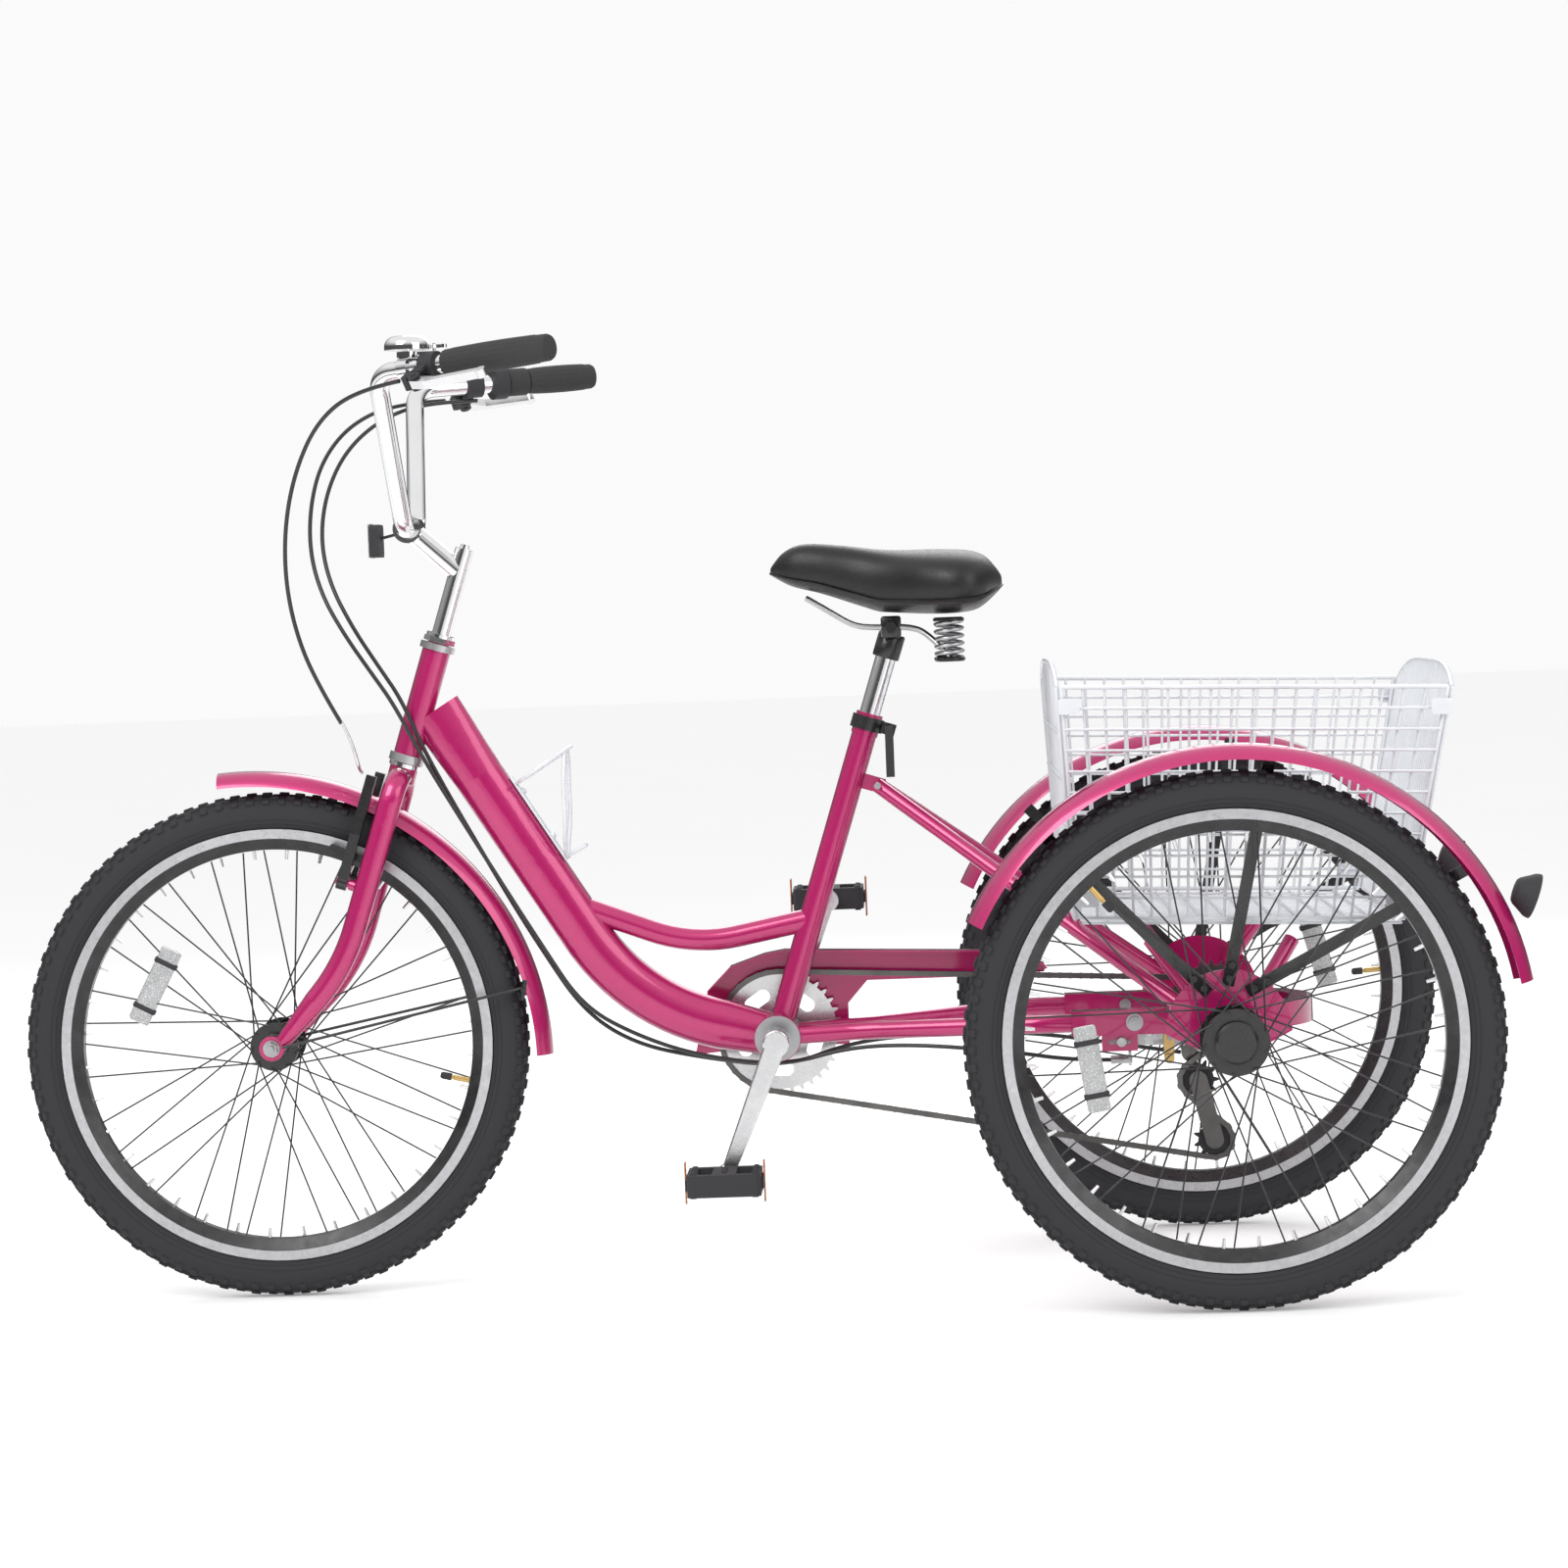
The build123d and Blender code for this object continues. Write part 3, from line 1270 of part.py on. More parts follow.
# ---------------------------------------------------------------- front brake arms
shoe_gap = 2.6
for side, label in ((-1, "brake_arm_left"), (1, "brake_arm_right")):
    with BuildPart() as brake_arm:
        with BuildSketch(
            Plane(origin=on_steering(0, 24, 0), x_dir=(0, 1, 0), z_dir=(-sin(head), 0, cos(head)))
        ) as arm_outline:
            rise = -1
            with BuildLine():
                Polyline(
                    (side * (boss_half - 8), rise * (boss_up - 6)),
                    (side * (boss_half + 8), rise * (boss_up - 6)),
                    (side * (boss_half + 8), rise * (boss_up + 60)),
                    (side * (boss_half + 4), rise * (boss_up + 132)),
                    (side * (boss_half - 6), rise * (boss_up + 132)),
                    (side * (boss_half - 5), rise * (boss_up + 60)),
                    close=True,
                )
            make_face()
            with Locations((side * boss_half, rise * boss_up)):
                Circle(9)
                Circle(4 + running_gap, mode=Mode.SUBTRACT)
        extrude(arm_outline.sketch, amount=12)
        # brake shoe and its holder
        bar(on_steering(boss_up + 33, 30, side * (boss_half - 2)), on_steering(boss_up + 33, 30, side * 27), 5)
        with BuildSketch(Plane(origin=on_steering(boss_up + 33, 30, side * 28), z_dir=(0, -side, 0), x_dir=(cos(radians(24)), 0, -sin(radians(24))))) as shoe:
            RectangleRounded(56, 9, 4)
        extrude(shoe.sketch, amount=28 - rim_width / 2 - shoe_gap)
    save(brake_arm, label)

# ---------------------------------------------------------------- pedals
for side, label in ((-1, "pedal_left"), (1, "pedal_right")):
    pedal_x = side * -cos(arm_up) * crank_length
    pedal_z = side * -sin(arm_up) * crank_length
    with BuildPart() as pedal:
        with BuildSketch(
            Plane(origin=from_crank(pedal_x, side * pedal_centre, pedal_z - pedal_thick / 2))
        ) as pedal_plan:
            RectangleRounded(pedal_long, pedal_wide, 8)
            with Locations((-23, 0), (23, 0)):
                RectangleRounded(18, pedal_wide - 22, 4, mode=Mode.SUBTRACT)
        extrude(pedal_plan.sketch, amount=pedal_thick)
        bar(
            from_crank(pedal_x, side * (pedal_centre - pedal_wide / 2 - 4), pedal_z),
            from_crank(pedal_x, side * (pedal_centre + pedal_wide / 2 - 4), pedal_z),
            10,
        )
        bar(
            from_crank(pedal_x, side * (pedal_centre - pedal_wide / 2 - 5), pedal_z),
            from_crank(pedal_x, side * (pedal_centre + pedal_wide / 2 - 5), pedal_z),
            pedal_axle_radius + running_gap,
            mode=Mode.SUBTRACT,
        )
        for way in (-1, 1):
            with BuildSketch(
                Plane(
                    origin=from_crank(pedal_x + way * (pedal_long / 2), side * pedal_centre, pedal_z),
                    z_dir=(way, 0, 0),
                )
            ) as pedal_reflector:
                Rectangle(12, 52)
            extrude(pedal_reflector.sketch, amount=2.5)
    save(pedal, label)

# ---------------------------------------------------------------- band brake
drum_wall = 44.0
plate_y = drum_inner - 4
anchor_y = -rail_half + 6
anchor_drop = -21.5
brake_hinge = from_rear(-58, plate_y, -22)
with BuildPart() as band_brake:
    ring(from_rear(0, plate_y, 0), from_rear(0, plate_y + 2.5, 0), drum_wall + 2, axle_radius + 4)
    ring(from_rear(0, plate_y, 0), from_rear(0, drum_outer, 0), drum_wall + 2, drum_wall)
    with BuildSketch(Plane(origin=from_rear(0, plate_y, 0), x_dir=(1, 0, 0), z_dir=(0, -1, 0))) as anchor:
        Polygon((-36, -4), (-132, -8), (-132, -28), (-40, -32), align=None)
        Circle(drum_wall, mode=Mode.SUBTRACT)
    extrude(anchor.sketch, amount=-2.5)
    bar(from_rear(-116, plate_y + 2, anchor_drop), from_rear(-116, anchor_y - 4, anchor_drop), 2.9)
    bar(from_rear(-116, plate_y, anchor_drop), from_rear(-116, anchor_y + 4.2, anchor_drop), 5)
    bar(from_rear(-116, anchor_y - 0.2, anchor_drop), from_rear(-116, anchor_y - 5, anchor_drop), 5.5)
    bar(brake_hinge, (brake_hinge[0], plate_y - 9, brake_hinge[2]), 3)
    with BuildSketch(Plane(origin=from_rear(-104, plate_y, 0), z_dir=(-1, 0, 0), x_dir=(0, 1, 0))) as adjuster_bracket:
        Polygon((0, 10), (0, 52), (-16, 52), (-16, 36), (-6, 24), (-6, 10), align=None)
    extrude(adjuster_bracket.sketch, amount=3)
    bar(from_rear(-103, plate_y - 9, -45), from_rear(-128, plate_y - 9, -45), 5)
save(band_brake, "band_brake")

with BuildPart() as band_brake_arm:
    with BuildSketch(
        Plane(origin=(brake_hinge[0], plate_y - 7.5, brake_hinge[2]), x_dir=(1, 0, 0), z_dir=(0, -1, 0))
    ) as arm_shape:
        with Locations((-1, -11)):
            SlotOverall(38, 12, rotation=90)
        Circle(3 + running_gap, mode=Mode.SUBTRACT)
    extrude(arm_shape.sketch, amount=-3)
    bar(
        (brake_hinge[0] - 2, plate_y - 12, brake_hinge[2] - 23),
        (brake_hinge[0] - 2, plate_y - 5, brake_hinge[2] - 23),
        4.5,
    )
save(band_brake_arm, "band_brake_arm")

# ---------------------------------------------------------------- cables
under_tube = down_up * -1


def below_down_tube(share, drop, y):
    """Point under the down tube's straight stretch."""
    point = Vector(*between(down_start, down_corner, share)) + under_tube * drop
    return (point.X, y, point.Z)


with BuildPart() as bar_cables:
    # front brake
    cable(
        [
            (-377, -227, 1080),
            (-432, -196, 1073),
            (-482, -160, 1042),
            (-516, -124, 987),
            (-536, -94, 922),
            (-541, -71, 851),
            (-530, -55, 783),
            (-506, -47, 725),
            (-486, -43, 688),
        ]
    )
    # rear brake
    cable(
        [
            (-377, 227, 1080),
            (-436, 194, 1077),
            (-487, 150, 1051),
            (-517, 102, 1006),
            (-527, 58, 951),
            (-524, 18, 893),
            (-507, -12, 840),
            (-479, -27, 791),
            (-448, -33, 745),
        ]
    )
    # gear shift
    cable(
        [
            (-336, 221, 1078),
            (-394, 198, 1077),
            (-446, 160, 1059),
            (-486, 114, 1021),
            (-507, 68, 970),
            (-512, 28, 912),
            (-499, -4, 856),
            (-471, -20, 801),
            (-440, -25, 752),
        ]
    )
save(bar_cables, "bar_cables")

with BuildPart() as frame_cables:
    cable(
        [
            (-446, -33, 742),
            (-424, -30, 708),
            below_down_tube(0.24, 32, -20),
            below_down_tube(0.74, 32, -14),
            from_crank(-165, -14, 8),
            from_crank(-92, -14, -20),
            from_crank(8, -15, -34),
            from_crank(85, -28, -13),
            from_crank(170, -62, -9),
            from_rear(-240, -78, -32),
            from_rear(-172, plate_y - 9, -44),
            from_rear(-128.2, plate_y - 9, -45),
        ]
    )
    cable(
        [
            (-438, -25, 749),
            (-415, -23, 712),
            below_down_tube(0.235, 35, -12),
            below_down_tube(0.735, 35, -6),
            from_crank(-174, -6, -1),
            from_crank(-94, -6, -23),
            from_crank(8, -4, -36),
            from_crank(80, 14, -14),
            from_crank(150, 42, -9),
            from_crank(240, 60, -10),
            from_rear(-205, 63, -26),
            from_rear(-120, 60, -40),
            from_rear(-37.5, 57, -54),
        ]
    )
save(frame_cables, "frame_cables")

# ---------------------------------------------------------------- clips that join the basket panels
with BuildPart() as basket_clips:
    for side in (-1, 1):
        for point, half, shift in (
            (basket_front_top, basket_top_half, 8),
            (basket_rear_top, basket_top_half, -8),
            (basket_front_low, basket_low_half, 10),
            (basket_rear_low, basket_low_half, -10),
        ):
            lift = -22 if point[2] > axle_height + 200 else 22
            with BuildSketch(
                Plane(origin=(point[0] + shift, side * (half + (2.6 if lift < 0 else 4.4)), point[2] + lift), z_dir=(0, side, 0))
            ) as clip:
                RectangleRounded(18, 24, 3)
            extrude(clip.sketch, amount=3.2)
save(basket_clips, "basket_clips")
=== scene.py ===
"""Adult tricycle: finishes, fine pieces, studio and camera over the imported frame."""

import logging
import math
from dataclasses import dataclass, field
from enum import Enum
from typing import Callable, Iterable, Sequence

import bmesh
import bpy
from mathutils import Matrix, Vector


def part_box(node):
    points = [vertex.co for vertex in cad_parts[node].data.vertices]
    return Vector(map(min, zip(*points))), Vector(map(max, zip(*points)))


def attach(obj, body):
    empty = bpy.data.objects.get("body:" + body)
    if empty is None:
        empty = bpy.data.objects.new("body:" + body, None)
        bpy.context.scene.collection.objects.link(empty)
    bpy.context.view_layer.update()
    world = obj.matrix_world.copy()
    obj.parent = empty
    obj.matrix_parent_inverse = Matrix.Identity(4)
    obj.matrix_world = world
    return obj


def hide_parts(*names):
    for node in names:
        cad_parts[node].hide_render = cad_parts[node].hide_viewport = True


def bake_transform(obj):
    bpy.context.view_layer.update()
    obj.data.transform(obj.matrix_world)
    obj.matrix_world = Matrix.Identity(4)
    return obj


LOG = logging.getLogger("tricycle")
Point = tuple[float, float, float]
Colour = tuple[float, float, float]


class Side(Enum):
    """Rider's side of the machine."""

    LEFT = -1
    RIGHT = 1


class Shade(Enum):
    """How a mesh's faces meet."""

    SMOOTH = math.radians(38)
    CRISP = math.radians(20)


# ------------------------------------------------------------------ node helper
class Recipe:
    """Builds one procedural material around a Principled shader."""

    def __init__(self, name: str) -> None:
        """Start an empty recipe.

        Args:
            name: Name of the material.
        """
        self.material = bpy.data.materials.new(name)
        self.material.use_nodes = True
        self.tree = self.material.node_tree
        self.shader = self.tree.nodes["Principled BSDF"]
        self.space = self.tree.nodes.new("ShaderNodeTexCoord").outputs["Object"]

    def put(self, **values: float | Colour) -> "Recipe":
        """Set constants on the shader's own sockets.

        Args:
            values: Socket names with underscores for spaces.

        Returns:
            The recipe itself.
        """
        for key, value in values.items():
            socket = self.shader.inputs[key.replace("_", " ")]
            socket.default_value = (*value, 1.0) if isinstance(value, tuple) else value
        return self

    def wire(self, source: bpy.types.NodeSocket, target: str) -> "Recipe":
        """Link a socket to one of the shader's inputs."""
        self.tree.links.new(source, self.shader.inputs[target])
        return self

    def node(self, kind: str, sets: dict | None = None, **links: object) -> bpy.types.Node:
        """Add a node, set its properties and feed its inputs.

        Args:
            kind: Blender's node type name.
            sets: Properties of the node itself.
            links: Input names with sockets or constants.

        Returns:
            The new node.
        """
        made = self.tree.nodes.new(kind)
        for key, value in (sets or {}).items():
            setattr(made, key, value)
        for key, value in links.items():
            place = int(key[1:]) if key[0] == "i" and key[1:].isdigit() else key.replace("_", " ")
            if isinstance(value, bpy.types.NodeSocket):
                self.tree.links.new(value, made.inputs[place])
            else:
                made.inputs[place].default_value = value
        return made

    def noise(self, scale: float, detail: float = 4.0, rough: float = 0.55) -> bpy.types.NodeSocket:
        """Fractal noise in object space."""
        made = self.node("ShaderNodeTexNoise", Vector=self.space, Scale=scale, Detail=detail, Roughness=rough)
        return made.outputs["Fac"]

    def cells(self, scale: float, feature: str = "F1") -> bpy.types.NodeSocket:
        """Distance pattern of scattered cells."""
        made = self.node("ShaderNodeTexVoronoi", {"feature": feature}, Vector=self.space, Scale=scale)
        return made.outputs["Distance"]

    def sum(self, how: str, a: object, b: object) -> bpy.types.NodeSocket:
        """Join two values with a math operation."""
        return self.node("ShaderNodeMath", {"operation": how}, i0=a, i1=b).outputs[0]

    def span(
        self, value: object, low: float, high: float, to_low: float = 0.0, to_high: float = 1.0
    ) -> bpy.types.NodeSocket:
        """Map a value from one range to another, clamped."""
        made = self.node("ShaderNodeMapRange", None, i0=value, i1=low, i2=high, i3=to_low, i4=to_high)
        return made.outputs[0]

    def blend(self, share: object, a: object, b: object) -> bpy.types.NodeSocket:
        """Mix two colours."""
        made = self.tree.nodes.new("ShaderNodeMix")
        made.data_type = "RGBA"
        for place, value in ((0, share), (6, a), (7, b)):
            if isinstance(value, bpy.types.NodeSocket):
                self.tree.links.new(value, made.inputs[place])
            else:
                made.inputs[place].default_value = (*value, 1.0) if isinstance(value, tuple) else value
        return made.outputs[2]

    def relief(self, height: bpy.types.NodeSocket, depth: float, strength: float = 1.0) -> "Recipe":
        """Bump the surface.

        Args:
            height: Height pattern from 0 to 1.
            depth: Depth of the pattern in metres.
            strength: Share of the effect.

        Returns:
            The recipe itself.
        """
        links = {"Height": height, "Distance": depth, "Strength": strength}
        last = self.shader.inputs["Normal"]
        if last.is_linked:
            links["Normal"] = last.links[0].from_socket
        self.wire(self.node("ShaderNodeBump", None, **links).outputs[0], "Normal")
        return self


# ------------------------------------------------------------------ finishes
@dataclass(frozen=True)
class Finish:
    """A surface finish; subclasses lay its pattern."""

    name: str
    colour: Colour
    roughness: float = 0.4
    metallic: float = 0.0

    def lay(self, recipe: Recipe) -> None:
        """Draw the pattern of the finish into the recipe."""

    def material(self) -> bpy.types.Material:
        """The finish's material, made once.

        Returns:
            The Blender material.
        """
        known = bpy.data.materials.get(self.name)
        if known:
            return known
        recipe = Recipe(self.name)
        recipe.put(Base_Color=self.colour, Roughness=self.roughness, Metallic=self.metallic)
        self.lay(recipe)
        return recipe.material


@dataclass(frozen=True)
class PearlLacquer(Finish):
    """Deep pearl paint under a clear coat."""

    # Dark paint colour: painted shade towards the outline, and the far end of the random tone drift.
    deep: Colour = (0.12, 0.0, 0.03)

    def lay(self, recipe: Recipe) -> None:
        """Fine flake, a slow drift of tone, painted shade towards the outline and orange peel in the coat."""
        recipe.put(Coat_Weight=1.0, Coat_Roughness=0.06, Coat_IOR=1.5)
        flake = recipe.noise(2400.0, 2.0)
        drift = recipe.noise(9.0, 3.0)
        # Painted shade: the paint turns to the deep colour where the surface faces away from the camera,
        # standing in for the shaded sides of the tubes.
        edge = recipe.node("ShaderNodeLayerWeight", None, Blend=0.32).outputs["Facing"]
        edge_shaded = recipe.blend(recipe.span(edge, 0.25, 0.95), self.colour, self.deep)
        bright = tuple(min(1.0, c * 1.35 + 0.01) for c in self.colour)
        speck = recipe.blend(recipe.span(flake, 0.5, 0.72, 0.0, 0.45), edge_shaded, bright)
        recipe.wire(recipe.blend(recipe.span(drift, 0.3, 0.7, 0.0, 0.12), speck, self.deep), "Base Color")
        recipe.wire(recipe.span(flake, 0.3, 0.7, self.roughness - 0.05, self.roughness + 0.07), "Roughness")
        recipe.relief(recipe.noise(240.0, 1.0), 0.00004, 0.35)


@dataclass(frozen=True)
class Enamel(Finish):
    """Plain paint or powder coat with a fine orange peel."""

    peel: float = 420.0
    depth: float = 0.00006
    coat: float = 0.3

    def lay(self, recipe: Recipe) -> None:
        """Orange peel, faint tone drift and dust in the gloss."""
        recipe.put(Coat_Weight=self.coat, Coat_Roughness=0.12)
        drift = recipe.noise(22.0, 5.0)
        dull = tuple(c * 0.82 + 0.004 for c in self.colour)
        recipe.wire(recipe.blend(recipe.span(drift, 0.35, 0.75, 0.0, 0.6), self.colour, dull), "Base Color")
        spots = recipe.noise(160.0, 4.0)
        recipe.wire(recipe.span(spots, 0.3, 0.7, self.roughness * 0.85, self.roughness * 1.2), "Roughness")
        recipe.relief(recipe.noise(self.peel, 2.0), self.depth, 0.5)


@dataclass(frozen=True)
class Metal(Finish):
    """Bare or plated metal, brushed or polished."""

    brush: float = 0.0
    soil: float = 0.1

    def lay(self, recipe: Recipe) -> None:
        """Hairline scratches, soft smudges and dark soil in random patches."""
        recipe.put(Metallic=1.0)
        smudge = recipe.noise(34.0, 6.0)
        hair = recipe.noise(700.0, 3.0)
        dark = tuple(c * 0.45 for c in self.colour)
        soiled = recipe.blend(recipe.span(smudge, 0.45, 0.8, 0.0, self.soil), self.colour, dark)
        recipe.wire(soiled, "Base Color")
        both = recipe.sum("ADD", recipe.sum("MULTIPLY", smudge, 0.6), recipe.sum("MULTIPLY", hair, 0.4))
        recipe.wire(recipe.span(both, 0.3, 0.7, self.roughness * 0.75, self.roughness * 1.3), "Roughness")
        if self.brush:
            recipe.relief(hair, 0.00003, self.brush)


@dataclass(frozen=True)
class Spangle(Finish):
    """Galvanised sheet with its crystal pattern."""

    def lay(self, recipe: Recipe) -> None:
        """Crystals of differing tone."""
        recipe.put(Metallic=1.0)
        made = recipe.node("ShaderNodeTexVoronoi", None, Vector=recipe.space, Scale=190.0)
        tone = recipe.span(made.outputs["Color"], 0.0, 1.0)
        dark = tuple(c * 0.6 for c in self.colour)
        recipe.wire(recipe.blend(tone, self.colour, dark), "Base Color")
        recipe.wire(recipe.span(tone, 0.0, 1.0, self.roughness * 0.7, self.roughness * 1.4), "Roughness")


@dataclass(frozen=True)
class BrakeTrack(Finish):
    """Black rim whose outer walls are machined bare."""

    centre: Point = (0.0, 0.0, 0.0)
    inner: float = 0.2486
    bare: Colour = (0.62, 0.62, 0.64)

    def lay(self, recipe: Recipe) -> None:
        """Silver band outside the inner radius, with turned grooves."""
        away = recipe.node("ShaderNodeVectorMath", {"operation": "SUBTRACT"}, i0=recipe.space, i1=self.centre)
        kind, upright = "ShaderNodeVectorMath", (1.0, 0.0, 1.0)
        flat = recipe.node(kind, {"operation": "MULTIPLY"}, i0=away.outputs[0], i1=upright)
        reach = recipe.node(kind, {"operation": "LENGTH"}, i0=flat.outputs[0]).outputs["Value"]
        band = recipe.span(reach, self.inner - 0.0002, self.inner + 0.0002)
        spot = recipe.span(recipe.noise(60.0, 5.0), 0.4, 0.8, 0.0, 0.5)
        black = recipe.blend(spot, self.colour, (0.05, 0.05, 0.055))
        wear = recipe.span(recipe.noise(210.0), 0.3, 0.7, 0.0, 0.4)
        silver = recipe.blend(wear, self.bare, (0.4, 0.4, 0.42))
        recipe.wire(recipe.blend(band, black, silver), "Base Color")
        recipe.wire(band, "Metallic")
        recipe.wire(recipe.span(recipe.noise(90.0), 0.3, 0.7, 0.24, 0.4), "Roughness")
        groove = recipe.sum("SINE", recipe.sum("MULTIPLY", reach, 9000.0), 0.0)
        recipe.relief(recipe.sum("MULTIPLY", recipe.span(groove, -1.0, 1.0), band), 0.00008, 0.6)


@dataclass(frozen=True)
class Rubber(Finish):
    """Moulded rubber or plastic with a fine grain."""

    grain: float = 900.0
    depth: float = 0.00012
    dust: float = 0.35

    def lay(self, recipe: Recipe) -> None:
        """Fine grain and pale dust in patches."""
        pale = tuple(c * 1.7 + 0.008 for c in self.colour)
        recipe.put(Specular_IOR_Level=0.38)
        dust = recipe.span(recipe.noise(48.0, 6.0), 0.42, 0.8, 0.0, self.dust)
        recipe.wire(recipe.blend(dust, self.colour, pale), "Base Color")
        low, high = self.roughness * 0.85, min(1.0, self.roughness * 1.15)
        rough = recipe.span(recipe.noise(120.0), 0.3, 0.7, low, high)
        recipe.wire(rough, "Roughness")
        recipe.relief(recipe.noise(self.grain, 3.0), self.depth, 0.6)


@dataclass(frozen=True)
class Leatherette(Finish):
    """Grained vinyl cover."""

    def lay(self, recipe: Recipe) -> None:
        """Pebble grain from cells, broken by noise, with worn highlights."""
        pebble = recipe.cells(620.0, "SMOOTH_F1")
        crease = recipe.noise(260.0, 5.0)
        grain = recipe.sum("ADD", recipe.sum("MULTIPLY", pebble, 0.8), recipe.sum("MULTIPLY", crease, 0.4))
        worn = recipe.span(recipe.noise(26.0, 4.0), 0.45, 0.75, 0.0, 0.35)
        recipe.wire(recipe.blend(worn, self.colour, (0.014, 0.0135, 0.0145)), "Base Color")
        recipe.wire(recipe.span(grain, 0.2, 0.9, self.roughness - 0.1, self.roughness + 0.14), "Roughness")
        recipe.put(Specular_IOR_Level=0.45)
        recipe.relief(grain, 0.0002, 0.6)


@dataclass(frozen=True)
class Lens(Finish):
    """Moulded reflector or lamp lens with prisms behind its face."""

    glow: float = 0.25

    def lay(self, recipe: Recipe) -> None:
        """Prism cells under a clear, glossy face."""
        recipe.put(Coat_Weight=1.0, Coat_Roughness=0.03, Transmission_Weight=self.glow, IOR=1.49)
        prism = recipe.cells(330.0, "DISTANCE_TO_EDGE")
        deep = tuple(c * 0.45 for c in self.colour)
        recipe.wire(recipe.blend(recipe.span(prism, 0.0, 0.5), deep, self.colour), "Base Color")
        recipe.relief(prism, 0.0009, 0.8)


PAINT = PearlLacquer("magenta_lacquer", (0.47, 0.004, 0.125), 0.3, 0.35)
BLACK = Enamel("black_enamel", (0.012, 0.012, 0.013), 0.28)
BLACK_WIRE = Enamel("black_wire_coat", (0.02, 0.02, 0.022), 0.32, 0.3)
# White coat whose base colour is greyed and blued: painted shade over the white wire.
WHITE_WITH_PAINTED_SHADE = Enamel("white_coat_with_painted_shade", (0.72, 0.745, 0.78), 0.36, coat=0.2)
CHROME = Metal("chrome_plate", (0.8, 0.8, 0.81), 0.09, soil=0.08)
ALLOY = Metal("polished_alloy", (0.68, 0.68, 0.69), 0.26, brush=0.4)
STEEL = Metal("zinc_steel", (0.5, 0.5, 0.51), 0.33, brush=0.5, soil=0.25)
DARK_STEEL = Metal("oiled_steel", (0.17, 0.165, 0.16), 0.36, brush=0.5, soil=0.5)
BRASS = Metal("brass_fitting", (0.62, 0.42, 0.16), 0.3, brush=0.3)
GALVANISED = Spangle("galvanised_plate", (0.62, 0.63, 0.64), 0.36)
TREAD = Rubber("tyre_rubber", (0.008, 0.008, 0.0085), 0.7, grain=520.0, depth=0.0002, dust=0.2)
GRIP = Rubber("grip_rubber", (0.007, 0.007, 0.0075), 0.55, dust=0.15)
PLASTIC = Rubber("black_plastic", (0.008, 0.008, 0.0085), 0.38, grain=1300.0, depth=0.00006, dust=0.12)
SHEATH = Rubber("cable_sheath", (0.01, 0.01, 0.011), 0.3, grain=700.0, depth=0.00003, dust=0.15)
COVER = Leatherette("saddle_leatherette", (0.007, 0.007, 0.0075), 0.4)
RED = Lens("red_lens", (0.5, 0.006, 0.008))
AMBER = Lens("amber_reflector", (0.85, 0.22, 0.01))
CLEAR = Lens("white_reflector", (0.85, 0.86, 0.87))


# ------------------------------------------------------------------ mesh helpers
def line_through(stations: Sequence[tuple[float, float]], x: float) -> float:
    """Height of a smooth line through its stations.

    Args:
        stations: Pairs of (place, height) in order.
        x: Place along the line.

    Returns:
        The height there.
    """
    if x <= stations[0][0]:
        return stations[0][1]
    for index, ((a, low), (b, high)) in enumerate(zip(stations, stations[1:])):
        if x <= b:
            before, after = stations[max(index - 1, 0)], stations[min(index + 2, len(stations) - 1)]
            leave = (high - before[1]) / (b - before[0]) * (b - a)
            reach = (after[1] - low) / (after[0] - a) * (b - a)
            t = (x - a) / (b - a)
            return (
                (2 * t**3 - 3 * t**2 + 1) * low
                + (t**3 - 2 * t**2 + t) * leave
                + (3 * t**2 - 2 * t**3) * high
                + (t**3 - t**2) * reach
            )
    return stations[-1][1]


def piece(name: str, mesh: bpy.types.Mesh, finish: Finish, body: str) -> bpy.types.Object:
    """Put a mesh in the scene, dress it and let it ride.

    Args:
        name: Name of the piece.
        mesh: Its finished mesh, in the row frame.
        finish: Its finish.
        body: Body that carries it, or an empty name to leave it free.

    Returns:
        The new object.
    """
    made = bpy.data.objects.new(name, mesh)
    bpy.context.scene.collection.objects.link(made)
    mesh.materials.clear()
    mesh.materials.append(finish.material())
    if body:
        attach(made, body)
    return made


def mesh_of(form: bmesh.types.BMesh, name: str, shade: Shade = Shade.SMOOTH) -> bpy.types.Mesh:
    """Turn a bmesh into a mesh with sharp creases kept.

    Args:
        form: The bmesh; it is freed.
        name: Name of the mesh.
        shade: Crease rule.

    Returns:
        The mesh.
    """
    bmesh.ops.recalc_face_normals(form, faces=form.faces[:])
    mesh = bpy.data.meshes.new(name)
    form.to_mesh(mesh)
    form.free()
    mesh.shade_smooth()
    mesh.set_sharp_from_angle(angle=shade.value)
    return mesh


def turn_to(axis: Sequence[float]) -> Matrix:
    """Rotation that takes +Z to the given direction."""
    return Vector(axis).normalized().to_track_quat("Z", "Y").to_matrix().to_4x4()


def lathe(
    form: bmesh.types.BMesh,
    profile: Sequence[tuple[float, float]],
    place: Matrix,
    steps: int = 48,
    flute: Callable[[float, float], float] | None = None,
) -> None:
    """Turn a profile of (radius, height) pairs about the local Z axis.

    Args:
        form: Bmesh that receives the faces.
        profile: Points from one end to the other; a loop when its ends match.
        place: Transform from local space.
        steps: Divisions of the turn.
        flute: Optional change of radius by (angle, height).
    """
    rings = []
    for radius, height in profile:
        row = []
        for index in range(steps):
            angle = math.tau * index / steps
            reach = radius + (flute(angle, height) if flute and radius > 0 else 0.0)
            local = Vector((reach * math.cos(angle), reach * math.sin(angle), height))
            row.append(form.verts.new(place @ local))
        rings.append(row)
    for low, high in zip(rings, rings[1:]):
        for index in range(steps):
            after = (index + 1) % steps
            form.faces.new((low[index], low[after], high[after], high[index]))
    if profile[0] != profile[-1]:
        for row in (rings[0], rings[-1]):
            form.faces.new(row)
    else:
        bmesh.ops.remove_doubles(form, verts=rings[0] + rings[-1], dist=1e-7)


